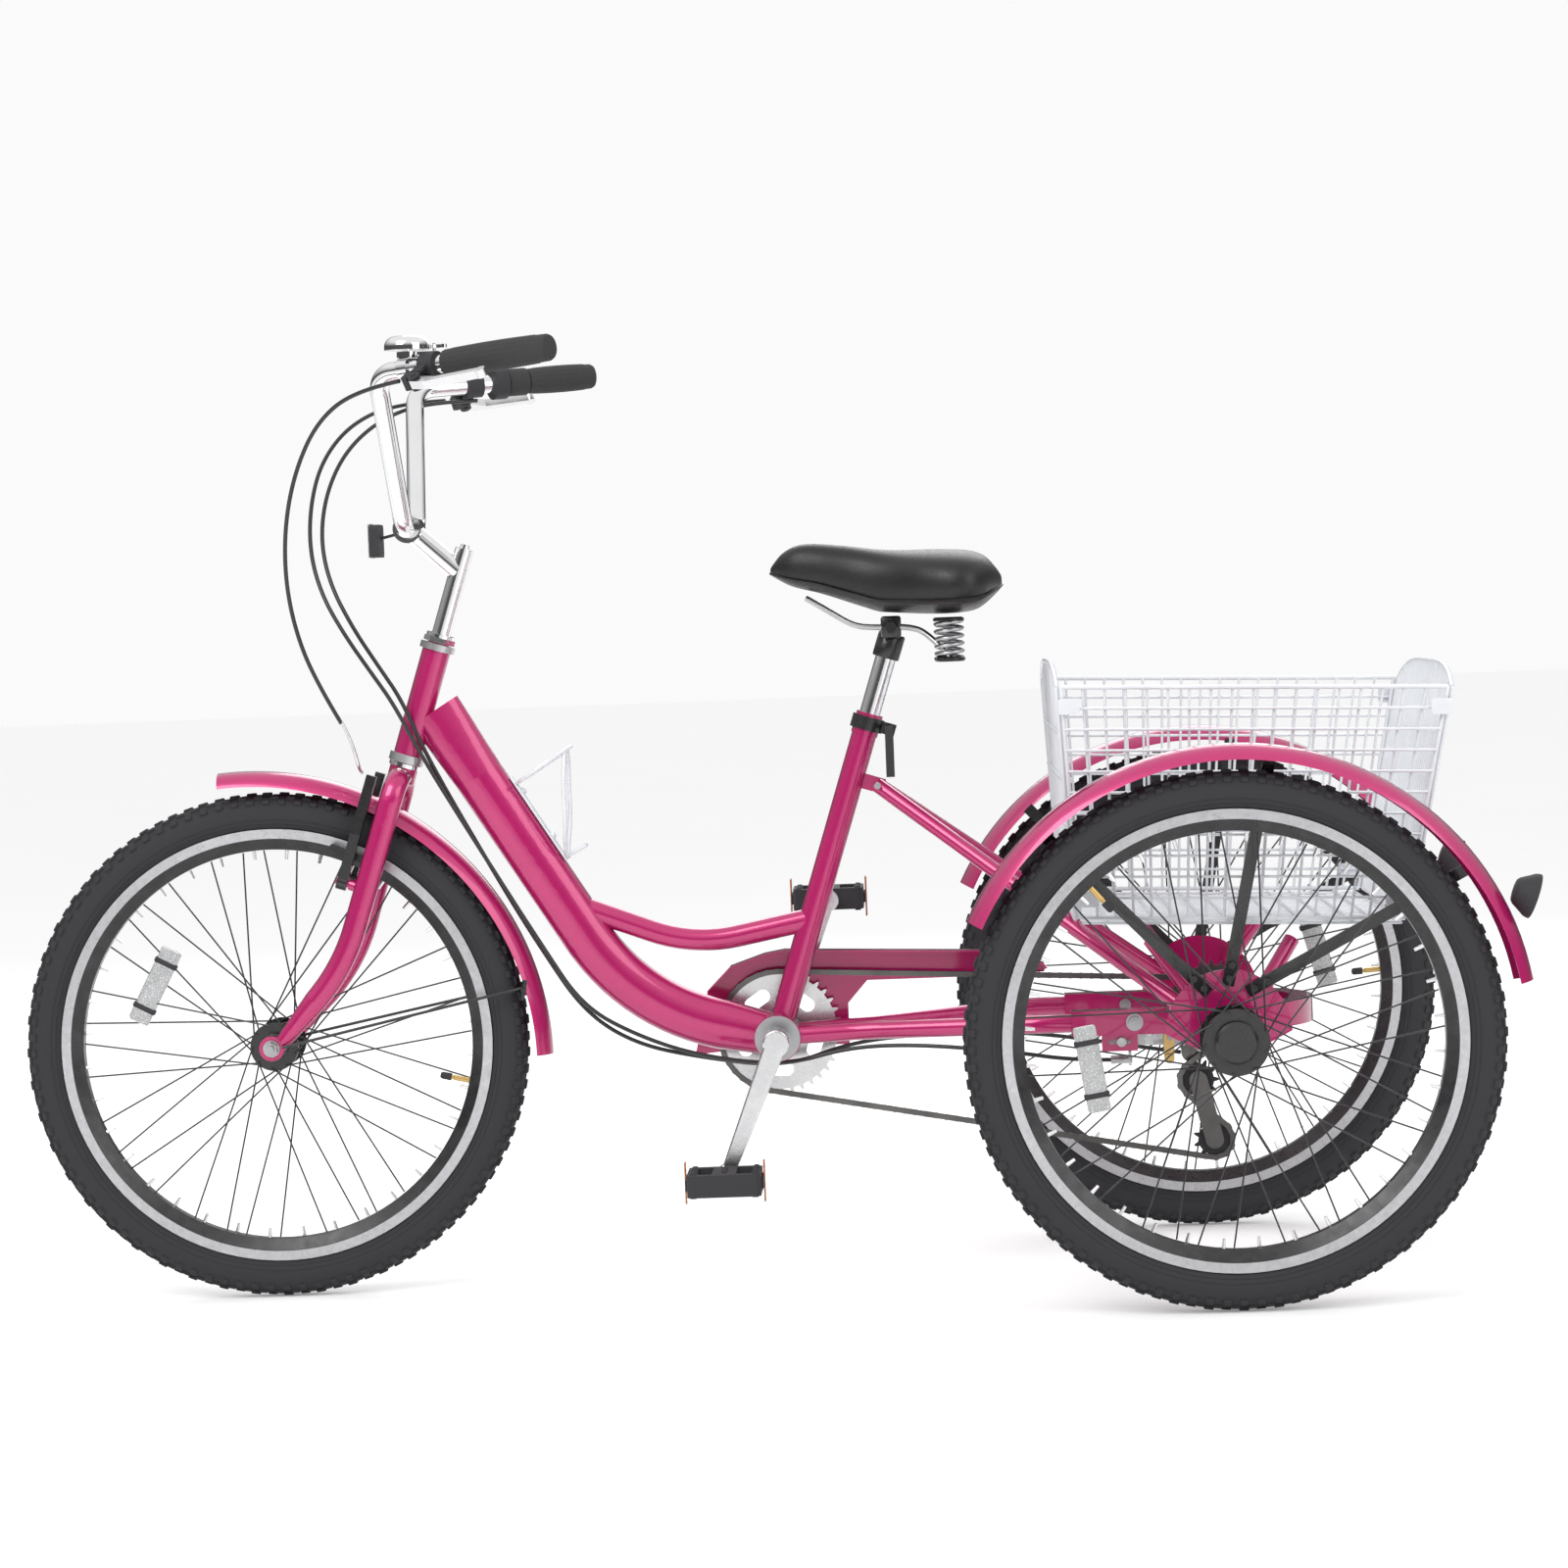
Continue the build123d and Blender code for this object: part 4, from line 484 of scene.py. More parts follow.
def slab(
    form: bmesh.types.BMesh, place: Matrix, size: Point, taper: float = 0.0, bevel: float = 0.0
) -> None:
    """Add one tapered, bevelled block.

    Args:
        form: Bmesh that receives it.
        place: Transform from local space; the block is centred.
        size: Length, width and height.
        taper: Share by which its top is smaller.
        bevel: Width of its rounded edges.
    """
    verts = []
    for z, share in ((-0.5, 1.0), (0.5, 1.0 - taper)):
        for x, y in ((-0.5, -0.5), (0.5, -0.5), (0.5, 0.5), (-0.5, 0.5)):
            local = Vector((x * size[0] * share, y * size[1] * share, z * size[2]))
            verts.append(form.verts.new(place @ local))
    faces = [form.faces.new([verts[i] for i in quad]) for quad in (
        (3, 2, 1, 0), (4, 5, 6, 7), (0, 1, 5, 4), (1, 2, 6, 5), (2, 3, 7, 6), (3, 0, 4, 7)
    )]
    if bevel:
        edges = list({edge for face in faces for edge in face.edges})
        bmesh.ops.bevel(form, geom=edges, offset=bevel, segments=2, affect="EDGES", profile=0.5)


def wires(
    name: str,
    routes: Iterable[Sequence[Sequence[float]]],
    radius: float,
    finish: Finish,
    body: str,
    smooth: bool = False,
    sides: int = 3,
) -> bpy.types.Object:
    """Round wires along routes, as one mesh.

    Args:
        name: Name of the piece.
        routes: Lists of points, in metres.
        radius: Wire radius.
        finish: Its finish.
        body: Body that carries it, or an empty name to leave it free.
        smooth: Whether a route is a smooth curve through its hull.
        sides: Bevel resolution of the wire.

    Returns:
        The new object.
    """
    data = bpy.data.curves.new(name, "CURVE")
    data.dimensions = "3D"
    data.bevel_depth = radius
    data.bevel_resolution = sides
    data.resolution_u = 10
    data.use_fill_caps = True
    for route in routes:
        spline = data.splines.new("NURBS" if smooth else "POLY")
        spline.points.add(len(route) - 1)
        for point, place in zip(spline.points, route):
            point.co = (*place, 1.0)
        if smooth:
            spline.order_u = 3
            spline.use_endpoint_u = True
    holder = bpy.data.objects.new(name + "_route", data)
    bpy.context.scene.collection.objects.link(holder)
    bpy.context.view_layer.update()
    view = bpy.context.evaluated_depsgraph_get()
    mesh = bpy.data.meshes.new_from_object(holder.evaluated_get(view))
    bpy.data.objects.remove(holder)
    mesh.name = name
    mesh.shade_smooth()
    mesh.set_sharp_from_angle(angle=Shade.SMOOTH.value)
    return piece(name, mesh, finish, body)


# ------------------------------------------------------------------ wheels
@dataclass
class Wheel:
    """Tyre with tread blocks, nipples, valve and reflector of one wheel."""

    name: str
    body: str
    valve_angle: float
    reflector_angle: float
    reflector_side: float
    rim_radius: float = 0.260
    tyre_radius: float = 0.304
    half_width: float = 0.0238
    tread_height: float = 0.0034
    blocks: int = 96
    spokes: int = 36
    turns: int = 120
    centre: Vector = field(init=False)

    def __post_init__(self) -> None:
        """Find the wheel's middle from its CAD tyre."""
        low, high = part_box(f"{self.name}_tyre")
        self.centre = (low + high) / 2

    def frame_at(self, angle: float, reach: float, across: float = 0.0, lean: float = 0.0) -> Matrix:
        """Local frame on the wheel: X along the rim, Y across, Z outwards.

        Args:
            angle: Place round the wheel.
            reach: Distance from the axle.
            across: Offset along the axle.
            lean: Turn of the outward direction towards the side.

        Returns:
            The placing matrix.
        """
        spin = Matrix.Translation(self.centre) @ Matrix.Rotation(angle, 4, "Y")
        return spin @ Matrix.Translation((0, across, reach)) @ Matrix.Rotation(-lean, 4, "X")

    def tyre(self) -> None:
        """Round carcass with rows of tread blocks, in place of the CAD tyre."""
        form = bmesh.new()
        base = self.tyre_radius - self.tread_height
        middle = (base + self.rim_radius - 0.004) / 2
        tall = base - middle
        profile = []
        steps, wrap = 28, math.radians(152)
        for index in range(steps + 1):
            angle = wrap * (2 * index / steps - 1)
            wide = (self.half_width - 0.0012) * math.sin(angle)
            profile.append((middle + tall * math.cos(angle), wide))
        bead, bead_half = self.rim_radius - 0.009, 0.0095
        profile += [(bead, bead_half), (bead, -bead_half)]
        profile.append(profile[0])
        place = Matrix.Translation(self.centre) @ Matrix.Rotation(math.radians(-90), 4, "X")
        lathe(form, profile, place, self.turns)
        step = math.tau / self.blocks
        for index in range(self.blocks):
            angle = step * index
            offset = 0.0028 * (1 if index % 2 else -1)
            slab(form, self.frame_at(angle, base + 0.0009, offset), (0.0125, 0.0098, 0.0042), 0.16, 0.0006)
            for way in (-1, 1):
                shoulder, edge = (0.0112, 0.42, 0.0115, step / 2), (0.0189, 0.98, 0.0098, 0.0)
                for out, lean, length, shift in (shoulder, edge):
                    drop = tall - tall * math.sqrt(1 - (out / self.half_width) ** 2)
                    block = self.frame_at(angle + shift, base - drop + 0.0005, way * out, way * lean)
                    slab(form, block, (length, 0.0062, 0.0036), 0.2, 0.0005)
        for way in (-1, 1):
            for reach in (self.rim_radius + 0.006, self.rim_radius + 0.0115):
                wide = (self.half_width - 0.0012) * math.sqrt(max(1 - ((reach - middle) / tall) ** 2, 0.05))
                foot, rise, half = way * (wide - 0.0006), way * (wide + 0.0005), 0.0007
                ring = [(reach - half, foot), (reach, rise), (reach + half, foot)]
                lathe(form, ring + ring[:1], place, self.turns)
        mesh = mesh_of(form, "tyre", Shade.CRISP)
        made = piece(f"{self.name}_tread_tyre", mesh, TREAD, self.body)
        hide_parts(f"{self.name}_tyre")

    def nipples(self) -> None:
        """Silver nipple at the rim end of each spoke."""
        form = bmesh.new()
        for index in range(self.spokes):
            angle = math.tau * (index + 0.5) / self.spokes
            across = 0.0035 * (1 if index % 2 else -1)
            place = self.frame_at(angle, self.rim_radius - 0.037, across)
            lathe(form, [(0.0018, 0.0004), (0.002, 0.004), (0.0024, 0.0112)], place, 8)
        piece(f"{self.name}_nipples", mesh_of(form, "nipples"), ALLOY, self.body)

    def valve(self) -> None:
        """Brass stem with a black cap, pointing at the axle."""
        place = self.frame_at(self.valve_angle, self.rim_radius - 0.026) @ Matrix.Rotation(math.pi, 4, "X")
        form = bmesh.new()
        lathe(form, [(0.0032, -0.004), (0.0032, 0.018), (0.0026, 0.0185), (0.0026, 0.022)], place, 16)
        piece(f"{self.name}_valve", mesh_of(form, "valve"), BRASS, self.body)
        form = bmesh.new()
        ribs = lambda angle, height: 0.00025 * math.cos(angle * 12)
        lathe(form, [(0.0040, 0.0215), (0.0042, 0.0225), (0.0040, 0.033), (0.0025, 0.035)], place, 48, ribs)
        piece(f"{self.name}_valve_cap", mesh_of(form, "cap"), PLASTIC, self.body)

    def reflector(self) -> None:
        """White wheel reflector clipped between two spokes."""
        place = self.frame_at(self.reflector_angle, 0.163, self.reflector_side)
        form = bmesh.new()
        slab(form, place, (0.098, 0.0075, 0.026), 0.0, 0.0034)
        piece(f"{self.name}_wheel_reflector", mesh_of(form, "reflector"), CLEAR, self.body)
        form = bmesh.new()
        for slide in (-0.030, 0.030):
            slab(form, place @ Matrix.Translation((slide, 0, 0)), (0.007, 0.0095, 0.029), 0.0, 0.002)
        clips = mesh_of(form, "clips")
        piece(f"{self.name}_wheel_reflector_clips", clips, PLASTIC, self.body)

    def build(self) -> None:
        """Make every piece of the wheel and finish its CAD nodes."""
        self.tyre()
        self.nipples()
        self.valve()
        self.reflector()
        track = BrakeTrack(f"{self.name}_rim_finish", (0.012, 0.012, 0.013), centre=tuple(self.centre))
        dress(f"{self.name}_rim", track)


# ------------------------------------------------------------------ saddle
@dataclass
class Saddle:
    """Padded cover, piping, rails and coil springs."""

    segments: int = 40
    spring_turns: int = 5
    spring_radius: float = 0.0155
    spring_height: float = 0.044
    wire: float = 0.0024
    widths: tuple[tuple[float, float], ...] = (
        (0.0, 0.14), (0.06, 0.27), (0.2, 0.35), (0.38, 0.43), (0.52, 0.6), (0.66, 0.86), (0.8, 1.0),
        (0.92, 0.93), (1.0, 0.66),
    )
    upper: tuple[tuple[float, float], ...] = (
        (-0.143, 0.094), (-0.128, 0.108), (-0.105, 0.1155), (-0.06, 0.1125), (0.0, 0.104), (0.07, 0.102),
        (0.112, 0.097), (0.134, 0.080),
    )
    lower: tuple[tuple[float, float], ...] = (
        (-0.143, 0.074), (-0.12, 0.064), (-0.084, 0.055), (-0.03, 0.036), (-0.01, 0.030), (0.098, 0.027),
        (0.134, 0.046),
    )

    def outline(self, share: float) -> float:
        """Half width of the cushion at a share of its length, from nose to tail."""
        return line_through(self.widths, share)

    def cover(self) -> None:
        """Crowned shell over foam, in place of the CAD cushion, with a piped lower edge."""
        low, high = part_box("saddle")
        length, half = high.x - low.x, (high.y - low.y) / 2
        crown, floor, count = high.z - 0.1159, low.z - 0.026, 52
        form = bmesh.new()
        rows, left, right = [], [], []
        for index in range(count + 1):
            t = 0.5 - 0.5 * math.cos(math.pi * index / count)
            local = -0.143 + 0.277 * t
            x = low.x + 0.001 + (length - 0.002) * t
            end = math.sqrt(max(1 - abs(2 * t - 1) ** 9, 0.0))
            wide = half * self.outline(t) * (0.18 + 0.82 * end)
            top = crown + line_through(self.upper, local)
            bottom = floor + line_through(self.lower, local)
            middle = bottom + (top - bottom) * 0.42
            row = []
            for turn in range(self.segments):
                angle = math.tau * turn / self.segments
                c, s = math.cos(angle), math.sin(angle)
                tuck = 1.0 if s > 0 else 1.0 - 0.22 * s * s
                y = wide * tuck * math.copysign(abs(c) ** 0.62, c)
                reach = (top - middle) if s > 0 else (middle - bottom)
                round_off = abs(s) ** (0.85 if s > 0 else 0.6)
                z = middle + reach * (0.25 + 0.75 * end) * math.copysign(round_off, s)
                if s > 0:
                    z -= 0.0035 * math.exp(-((y / 0.013) ** 2)) * math.sin(math.pi * t)
                row.append(form.verts.new((x, y, z)))
            rows.append(row)
            seam = middle - (middle - bottom) * 0.62 * (0.25 + 0.75 * end)
            left.append((x, -wide * 0.965, seam))
            right.append((x, wide * 0.965, seam))
        for a, b in zip(rows, rows[1:]):
            for turn in range(self.segments):
                after = (turn + 1) % self.segments
                form.faces.new((a[turn], a[after], b[after], b[turn]))
        form.faces.new(rows[0])
        form.faces.new(rows[-1])
        made = piece("saddle_cover", mesh_of(form, "cover"), COVER, "seat")
        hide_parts("saddle")
        loop = left[1:-1] + right[-2:0:-1]
        wires("saddle_piping", [loop + loop[:1]], 0.0016, COVER, "seat")

    def springs(self) -> None:
        """Twin rails, coil springs, their cups and the clamp, in place of the CAD undercarriage."""
        low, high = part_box("saddle_frame")
        post_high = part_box("seat_post")[1]
        lift = post_high.z - 0.004
        top_x = post_high.x - 0.0127
        rail_z = lift + 0.012
        coil_x, coil_y = high.x - 0.0194, 0.048
        foot = lift - 0.026
        rails = []
        for side in (-1, 1):
            rails.append([
                (low.x + 0.004, side * 0.008, lift + 0.050),
                (low.x + 0.03, side * 0.013, lift + 0.034),
                (top_x - 0.045, side * 0.021, rail_z + 0.003),
                (top_x - 0.02, side * 0.022, rail_z),
                (top_x + 0.022, side * 0.022, rail_z),
                (top_x + 0.045, side * 0.03, rail_z - 0.01),
                (coil_x, side * coil_y, foot),
            ])
        made = wires("saddle_rails", rails, 0.0035, STEEL, "seat", smooth=True)
        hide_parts("saddle_frame")
        coils = []
        for side in (-1, 1):
            route = []
            steps = self.spring_turns * 20
            for step in range(steps + 1):
                angle = math.tau * step / 20
                out = (self.spring_radius * math.cos(angle), self.spring_radius * math.sin(angle))
                rise = self.spring_height * step / steps
                route.append((coil_x + out[0], side * coil_y + out[1], foot - 0.001 + rise))
            coils.append(route)
        wires("saddle_coils", coils, self.wire, STEEL, "seat")
        form = bmesh.new()
        cup = [
            (0.004, -0.001), (0.0165, -0.001), (0.0182, 0.0005), (0.0182, 0.003), (0.0165, 0.0032),
            (0.0155, 0.0012), (0.004, 0.001),
        ]
        for side in (-1, 1):
            for height, flip in ((foot - 0.004, 1), (foot + 0.046, -1)):
                place = Matrix.Translation((coil_x, side * coil_y, height)) @ Matrix.Diagonal((1, 1, flip, 1))
                lathe(form, cup, place, 40)
            slab(form, Matrix.Translation((top_x, side * 0.0225, rail_z)), (0.024, 0.008, 0.026), 0.0, 0.003)
            place = Matrix.Translation((top_x, side * 0.0265, rail_z)) @ turn_to((0, side, 0))
            lathe(form, [(0.0085, 0.0), (0.0085, 0.0035), (0.0075, 0.0045)], place, 6)
        post_axis = (0.3090, 0.0, 0.9511)
        sleeve = [
            (0.0128, -0.026), (0.0155, -0.026), (0.0163, -0.024), (0.0163, 0.002), (0.0150, 0.004),
            (0.0128, 0.004),
        ]
        lathe(form, sleeve, Matrix.Translation((top_x, 0.0, lift)) @ turn_to(post_axis), 40)
        place = Matrix.Translation((top_x, -0.022, rail_z)) @ turn_to((0, 1, 0))
        lathe(form, [(0.0092, 0.0), (0.0098, 0.002), (0.0098, 0.042), (0.0092, 0.044)], place, 28)
        piece("saddle_clamp", mesh_of(form, "clamp"), BLACK, "seat")

    def build(self) -> None:
        """Make the saddle's pieces."""
        self.cover()
        self.springs()


# ------------------------------------------------------------------ basket
@dataclass
class Basket:
    """Welded round-wire basket, drawn between the CAD basket's corners."""

    rim_wire: float = 0.0026
    wire: float = 0.00165
    side_bars: int = 17
    side_rows: int = 10
    end_bars: int = 29
    end_rows: int = 4
    base_bars: int = 12
    base_rows: int = 14
    arch: float = 0.026
    rear_axle: Vector = field(default_factory=lambda: Vector((0.5395, 0.0, 0.304)))

    def at(self, x: float, y: float, z: float) -> Vector:
        """Place given from the middle of the rear axle."""
        return self.rear_axle + Vector((x, y, z))

    def panel(
        self,
        low_a: Vector,
        low_b: Vector,
        top_a: Vector,
        top_b: Vector,
        bars: int,
        rows: int,
        arch: float,
        out: Vector,
    ) -> tuple[list, list]:
        """Wires of one panel.

        Args:
            low_a: First lower corner.
            low_b: Second lower corner.
            top_a: First upper corner.
            top_b: Second upper corner.
            bars: Number of upright wires.
            rows: Number of level wires.
            arch: Rise of the upper edge's middle.
            out: Small shift that lays the level wires on the upright ones.

        Returns:
            Thick routes and thin routes.
        """
        rise = (top_a - low_a).normalized() * arch
        edge = lambda share: top_a.lerp(top_b, share) + rise * (1 - (2 * share - 1) ** 4)
        thick = [[low_a, low_b], [low_a, top_a], [low_b, top_b], [edge(i / 24) for i in range(25)]]
        thin = []
        for index in range(1, bars + 1):
            share = index / (bars + 1)
            thin.append([low_a.lerp(low_b, share) + out, edge(share) + out])
        for index in range(1, rows + 1):
            share = index / (rows + 1)
            thin.append([low_a.lerp(top_a, share) - out, low_b.lerp(top_b, share) - out])
        return thick, thin

    def build(self) -> None:
        """Make the walls and the floor."""
        at = self.at
        front_top, rear_top = (-0.178, 0.400), (0.257, 0.385)
        front_low, rear_low = (-0.165, 0.136), (0.203, 0.124)
        thick, thin = [], []
        for side in (-1, 1):
            low, top = side * 0.238, side * 0.255
            a, b = self.panel(
                at(front_low[0], low, front_low[1]), at(rear_low[0], low, rear_low[1]),
                at(front_top[0], top, front_top[1]), at(rear_top[0], top, rear_top[1]),
                self.side_bars, self.side_rows, 0.0, Vector((0, -side * self.wire, 0)),
            )
            thick += a
            thin += b
        ends = ((front_low, front_top, -0.005), (rear_low, rear_top, 0.005))
        for (low_x, low_z), (top_x, top_z), gap in ends:
            inward = Vector((self.wire * (1 if gap < 0 else -1), 0, 0))
            a, b = self.panel(
                at(low_x + gap, -0.234, low_z), at(low_x + gap, 0.234, low_z),
                at(top_x + gap, -0.251, top_z), at(top_x + gap, 0.251, top_z),
                self.end_bars, self.end_rows, self.arch, inward,
            )
            thick += a
            thin += b
        rim = wires("basket_edges", thick, self.rim_wire, WHITE_WITH_PAINTED_SHADE, "frame", sides=4)
        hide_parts("basket_walls")
        drop, inset, half = 0.0055, 0.004, 0.233
        front_x, front_z = front_low[0] + inset, front_low[1] - drop
        rear_x, rear_z = rear_low[0] - inset, rear_low[1] - drop
        a, b = self.panel(
            at(front_x, -half, front_z), at(rear_x, -half, rear_z), at(front_x, half, front_z),
            at(rear_x, half, rear_z), self.base_bars, self.base_rows, 0.0, Vector((0, 0, self.wire)),
        )
        wires("basket_mesh", thin, self.wire, WHITE_WITH_PAINTED_SHADE, "frame", sides=2)
        floor = wires("basket_base", a + b, self.wire * 1.1, WHITE_WITH_PAINTED_SHADE, "frame", sides=2)
        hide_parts("basket_floor")


# ------------------------------------------------------------------ controls
@dataclass
class Controls:
    """Grips, twist shifter, front reflector lens and cables."""

    bar_high: Vector = field(default_factory=lambda: Vector((-0.4088, 0.178, 1.0920)))
    bar_end: Vector = field(default_factory=lambda: Vector((-0.2, 0.297, 1.107)))
    grip_radius: float = 0.016
    bar_radius: float = 0.0112
    rib_pitch: float = 0.0042

    def along(self, side: Side) -> tuple[Vector, Vector]:
        """Tip and direction of one handlebar end."""
        flip = Vector((1, side.value, 1))
        tip = self.bar_end * flip
        return tip, (tip - self.bar_high * flip).normalized()

    def grips(self) -> None:
        """Ribbed rubber grips with swollen palms and end caps, in place of the CAD grips."""
        form = bmesh.new()
        for side, length in ((Side.LEFT, 0.140), (Side.RIGHT, 0.088)):
            tip, way = self.along(side)
            place = Matrix.Translation(tip) @ turn_to(way)
            profile = [(self.bar_radius, -length)]
            count = 72
            for index in range(count + 1):
                share = index / count
                swell = 0.0012 * math.sin(math.pi * share)
                ribbed = 0.08 < share < 0.9
                rib = 0.0006 * math.sin(share * length / self.rib_pitch * math.pi) ** 2 if ribbed else 0.0
                profile.append((self.grip_radius - 0.0006 + swell + rib, -length + length * share))
            profile += [(self.grip_radius - 0.002, 0.0028), (self.grip_radius - 0.006, 0.0038)]
            ribs = lambda angle, height: 0.0003 * math.cos(angle * 18) * (height < -0.012)
            lathe(form, profile, place, 72, ribs)
        made = piece("ribbed_grips", mesh_of(form, "grips"), GRIP, "steering")
        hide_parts("grips")
        tip, way = self.along(Side.RIGHT)
        form = bmesh.new()
        place = Matrix.Translation(tip - way * 0.1035) @ turn_to(way)
        ribs = lambda angle, height: 0.0006 * math.cos(angle * 20) * (abs(height) < 0.0105)
        profile = [
            (0.0113, -0.0135), (0.0166, -0.0135), (0.0172, -0.0122), (0.0172, 0.0122), (0.0166, 0.0138),
            (0.0113, 0.0138),
        ]
        lathe(form, profile, place, 120, ribs)
        made = piece("shifter_twist_ring", mesh_of(form, "ring"), GRIP, "twist_shifter")
        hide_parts("twist_shifter")

    def reflector(self) -> None:
        """White prism lens on the front reflector's housing."""
        low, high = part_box("front_reflector")
        form = bmesh.new()
        place = Matrix.Translation((low.x - 0.0006, 0.0, (low.z + high.z) / 2 - 0.004)) @ turn_to((-1, 0, 0))
        slab(form, place, (0.034, 0.042, 0.003), 0.04, 0.001)
        piece("front_reflector_lens", mesh_of(form, "lens"), CLEAR, "steering")

    def cables(self) -> None:
        """Cable sheaths; two of them run from the handlebar down the frame and are carried by no body."""
        front = [
            (-0.377, -0.227, 1.080), (-0.432, -0.196, 1.073), (-0.482, -0.160, 1.042),
            (-0.516, -0.124, 0.987), (-0.536, -0.094, 0.922), (-0.541, -0.071, 0.851),
            (-0.530, -0.055, 0.783), (-0.506, -0.047, 0.725), (-0.486, -0.043, 0.688),
        ]
        made = wires("front_brake_cable", [front], 0.0025, SHEATH, "steering", smooth=True)
        noodle = [
            (-0.486, -0.043, 0.690), (-0.476, -0.041, 0.668), (-0.470, -0.040, 0.645),
            (-0.468, -0.034, 0.632), (-0.468, -0.016, 0.628),
        ]
        wires("brake_noodle", [noodle], 0.0021, ALLOY, "steering", smooth=True)
        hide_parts("bar_cables")
        rear = [
            (-0.377, 0.227, 1.080), (-0.436, 0.194, 1.077), (-0.487, 0.150, 1.051),
            (-0.517, 0.102, 1.006), (-0.527, 0.058, 0.951), (-0.524, 0.018, 0.893),
            (-0.507, -0.012, 0.840), (-0.479, -0.027, 0.791), (-0.448, -0.034, 0.745),
            (-0.424, -0.031, 0.708), (-0.392, -0.024, 0.640), (-0.300, -0.018, 0.480),
            (-0.262, -0.0145, 0.415), (-0.215, -0.014, 0.338), (-0.150, -0.014, 0.300),
            (-0.074, -0.014, 0.2725), (0.026, -0.015, 0.2585), (0.103, -0.028, 0.2795),
            (0.188, -0.062, 0.2835), (0.2995, -0.078, 0.272), (0.3675, -0.075, 0.260),
            (0.4113, -0.075, 0.259),
        ]
        shift = [
            (-0.336, 0.221, 1.078), (-0.394, 0.198, 1.077), (-0.446, 0.160, 1.059),
            (-0.486, 0.114, 1.021), (-0.507, 0.068, 0.970), (-0.512, 0.028, 0.912),
            (-0.499, -0.004, 0.856), (-0.471, -0.020, 0.801), (-0.440, -0.025, 0.752),
            (-0.415, -0.023, 0.712), (-0.388, -0.014, 0.640), (-0.300, -0.008, 0.474),
            (-0.262, -0.006, 0.408), (-0.215, -0.006, 0.332), (-0.156, -0.006, 0.2905),
            (-0.076, -0.006, 0.2705), (0.026, -0.004, 0.2555), (0.098, 0.014, 0.2785),
            (0.168, 0.042, 0.2835), (0.258, 0.060, 0.2825), (0.3345, 0.063, 0.278),
            (0.4195, 0.060, 0.264), (0.502, 0.057, 0.250),
        ]
        for name, route in (("rear_brake_cable", rear), ("gear_cable", shift)):
            made = wires(name, [route], 0.0025, SHEATH, "", smooth=True)
            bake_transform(made)
            if name == "rear_brake_cable":
                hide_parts("frame_cables")

    def build(self) -> None:
        """Make the pieces at the handlebar."""
        self.grips()
        self.reflector()
        self.cables()


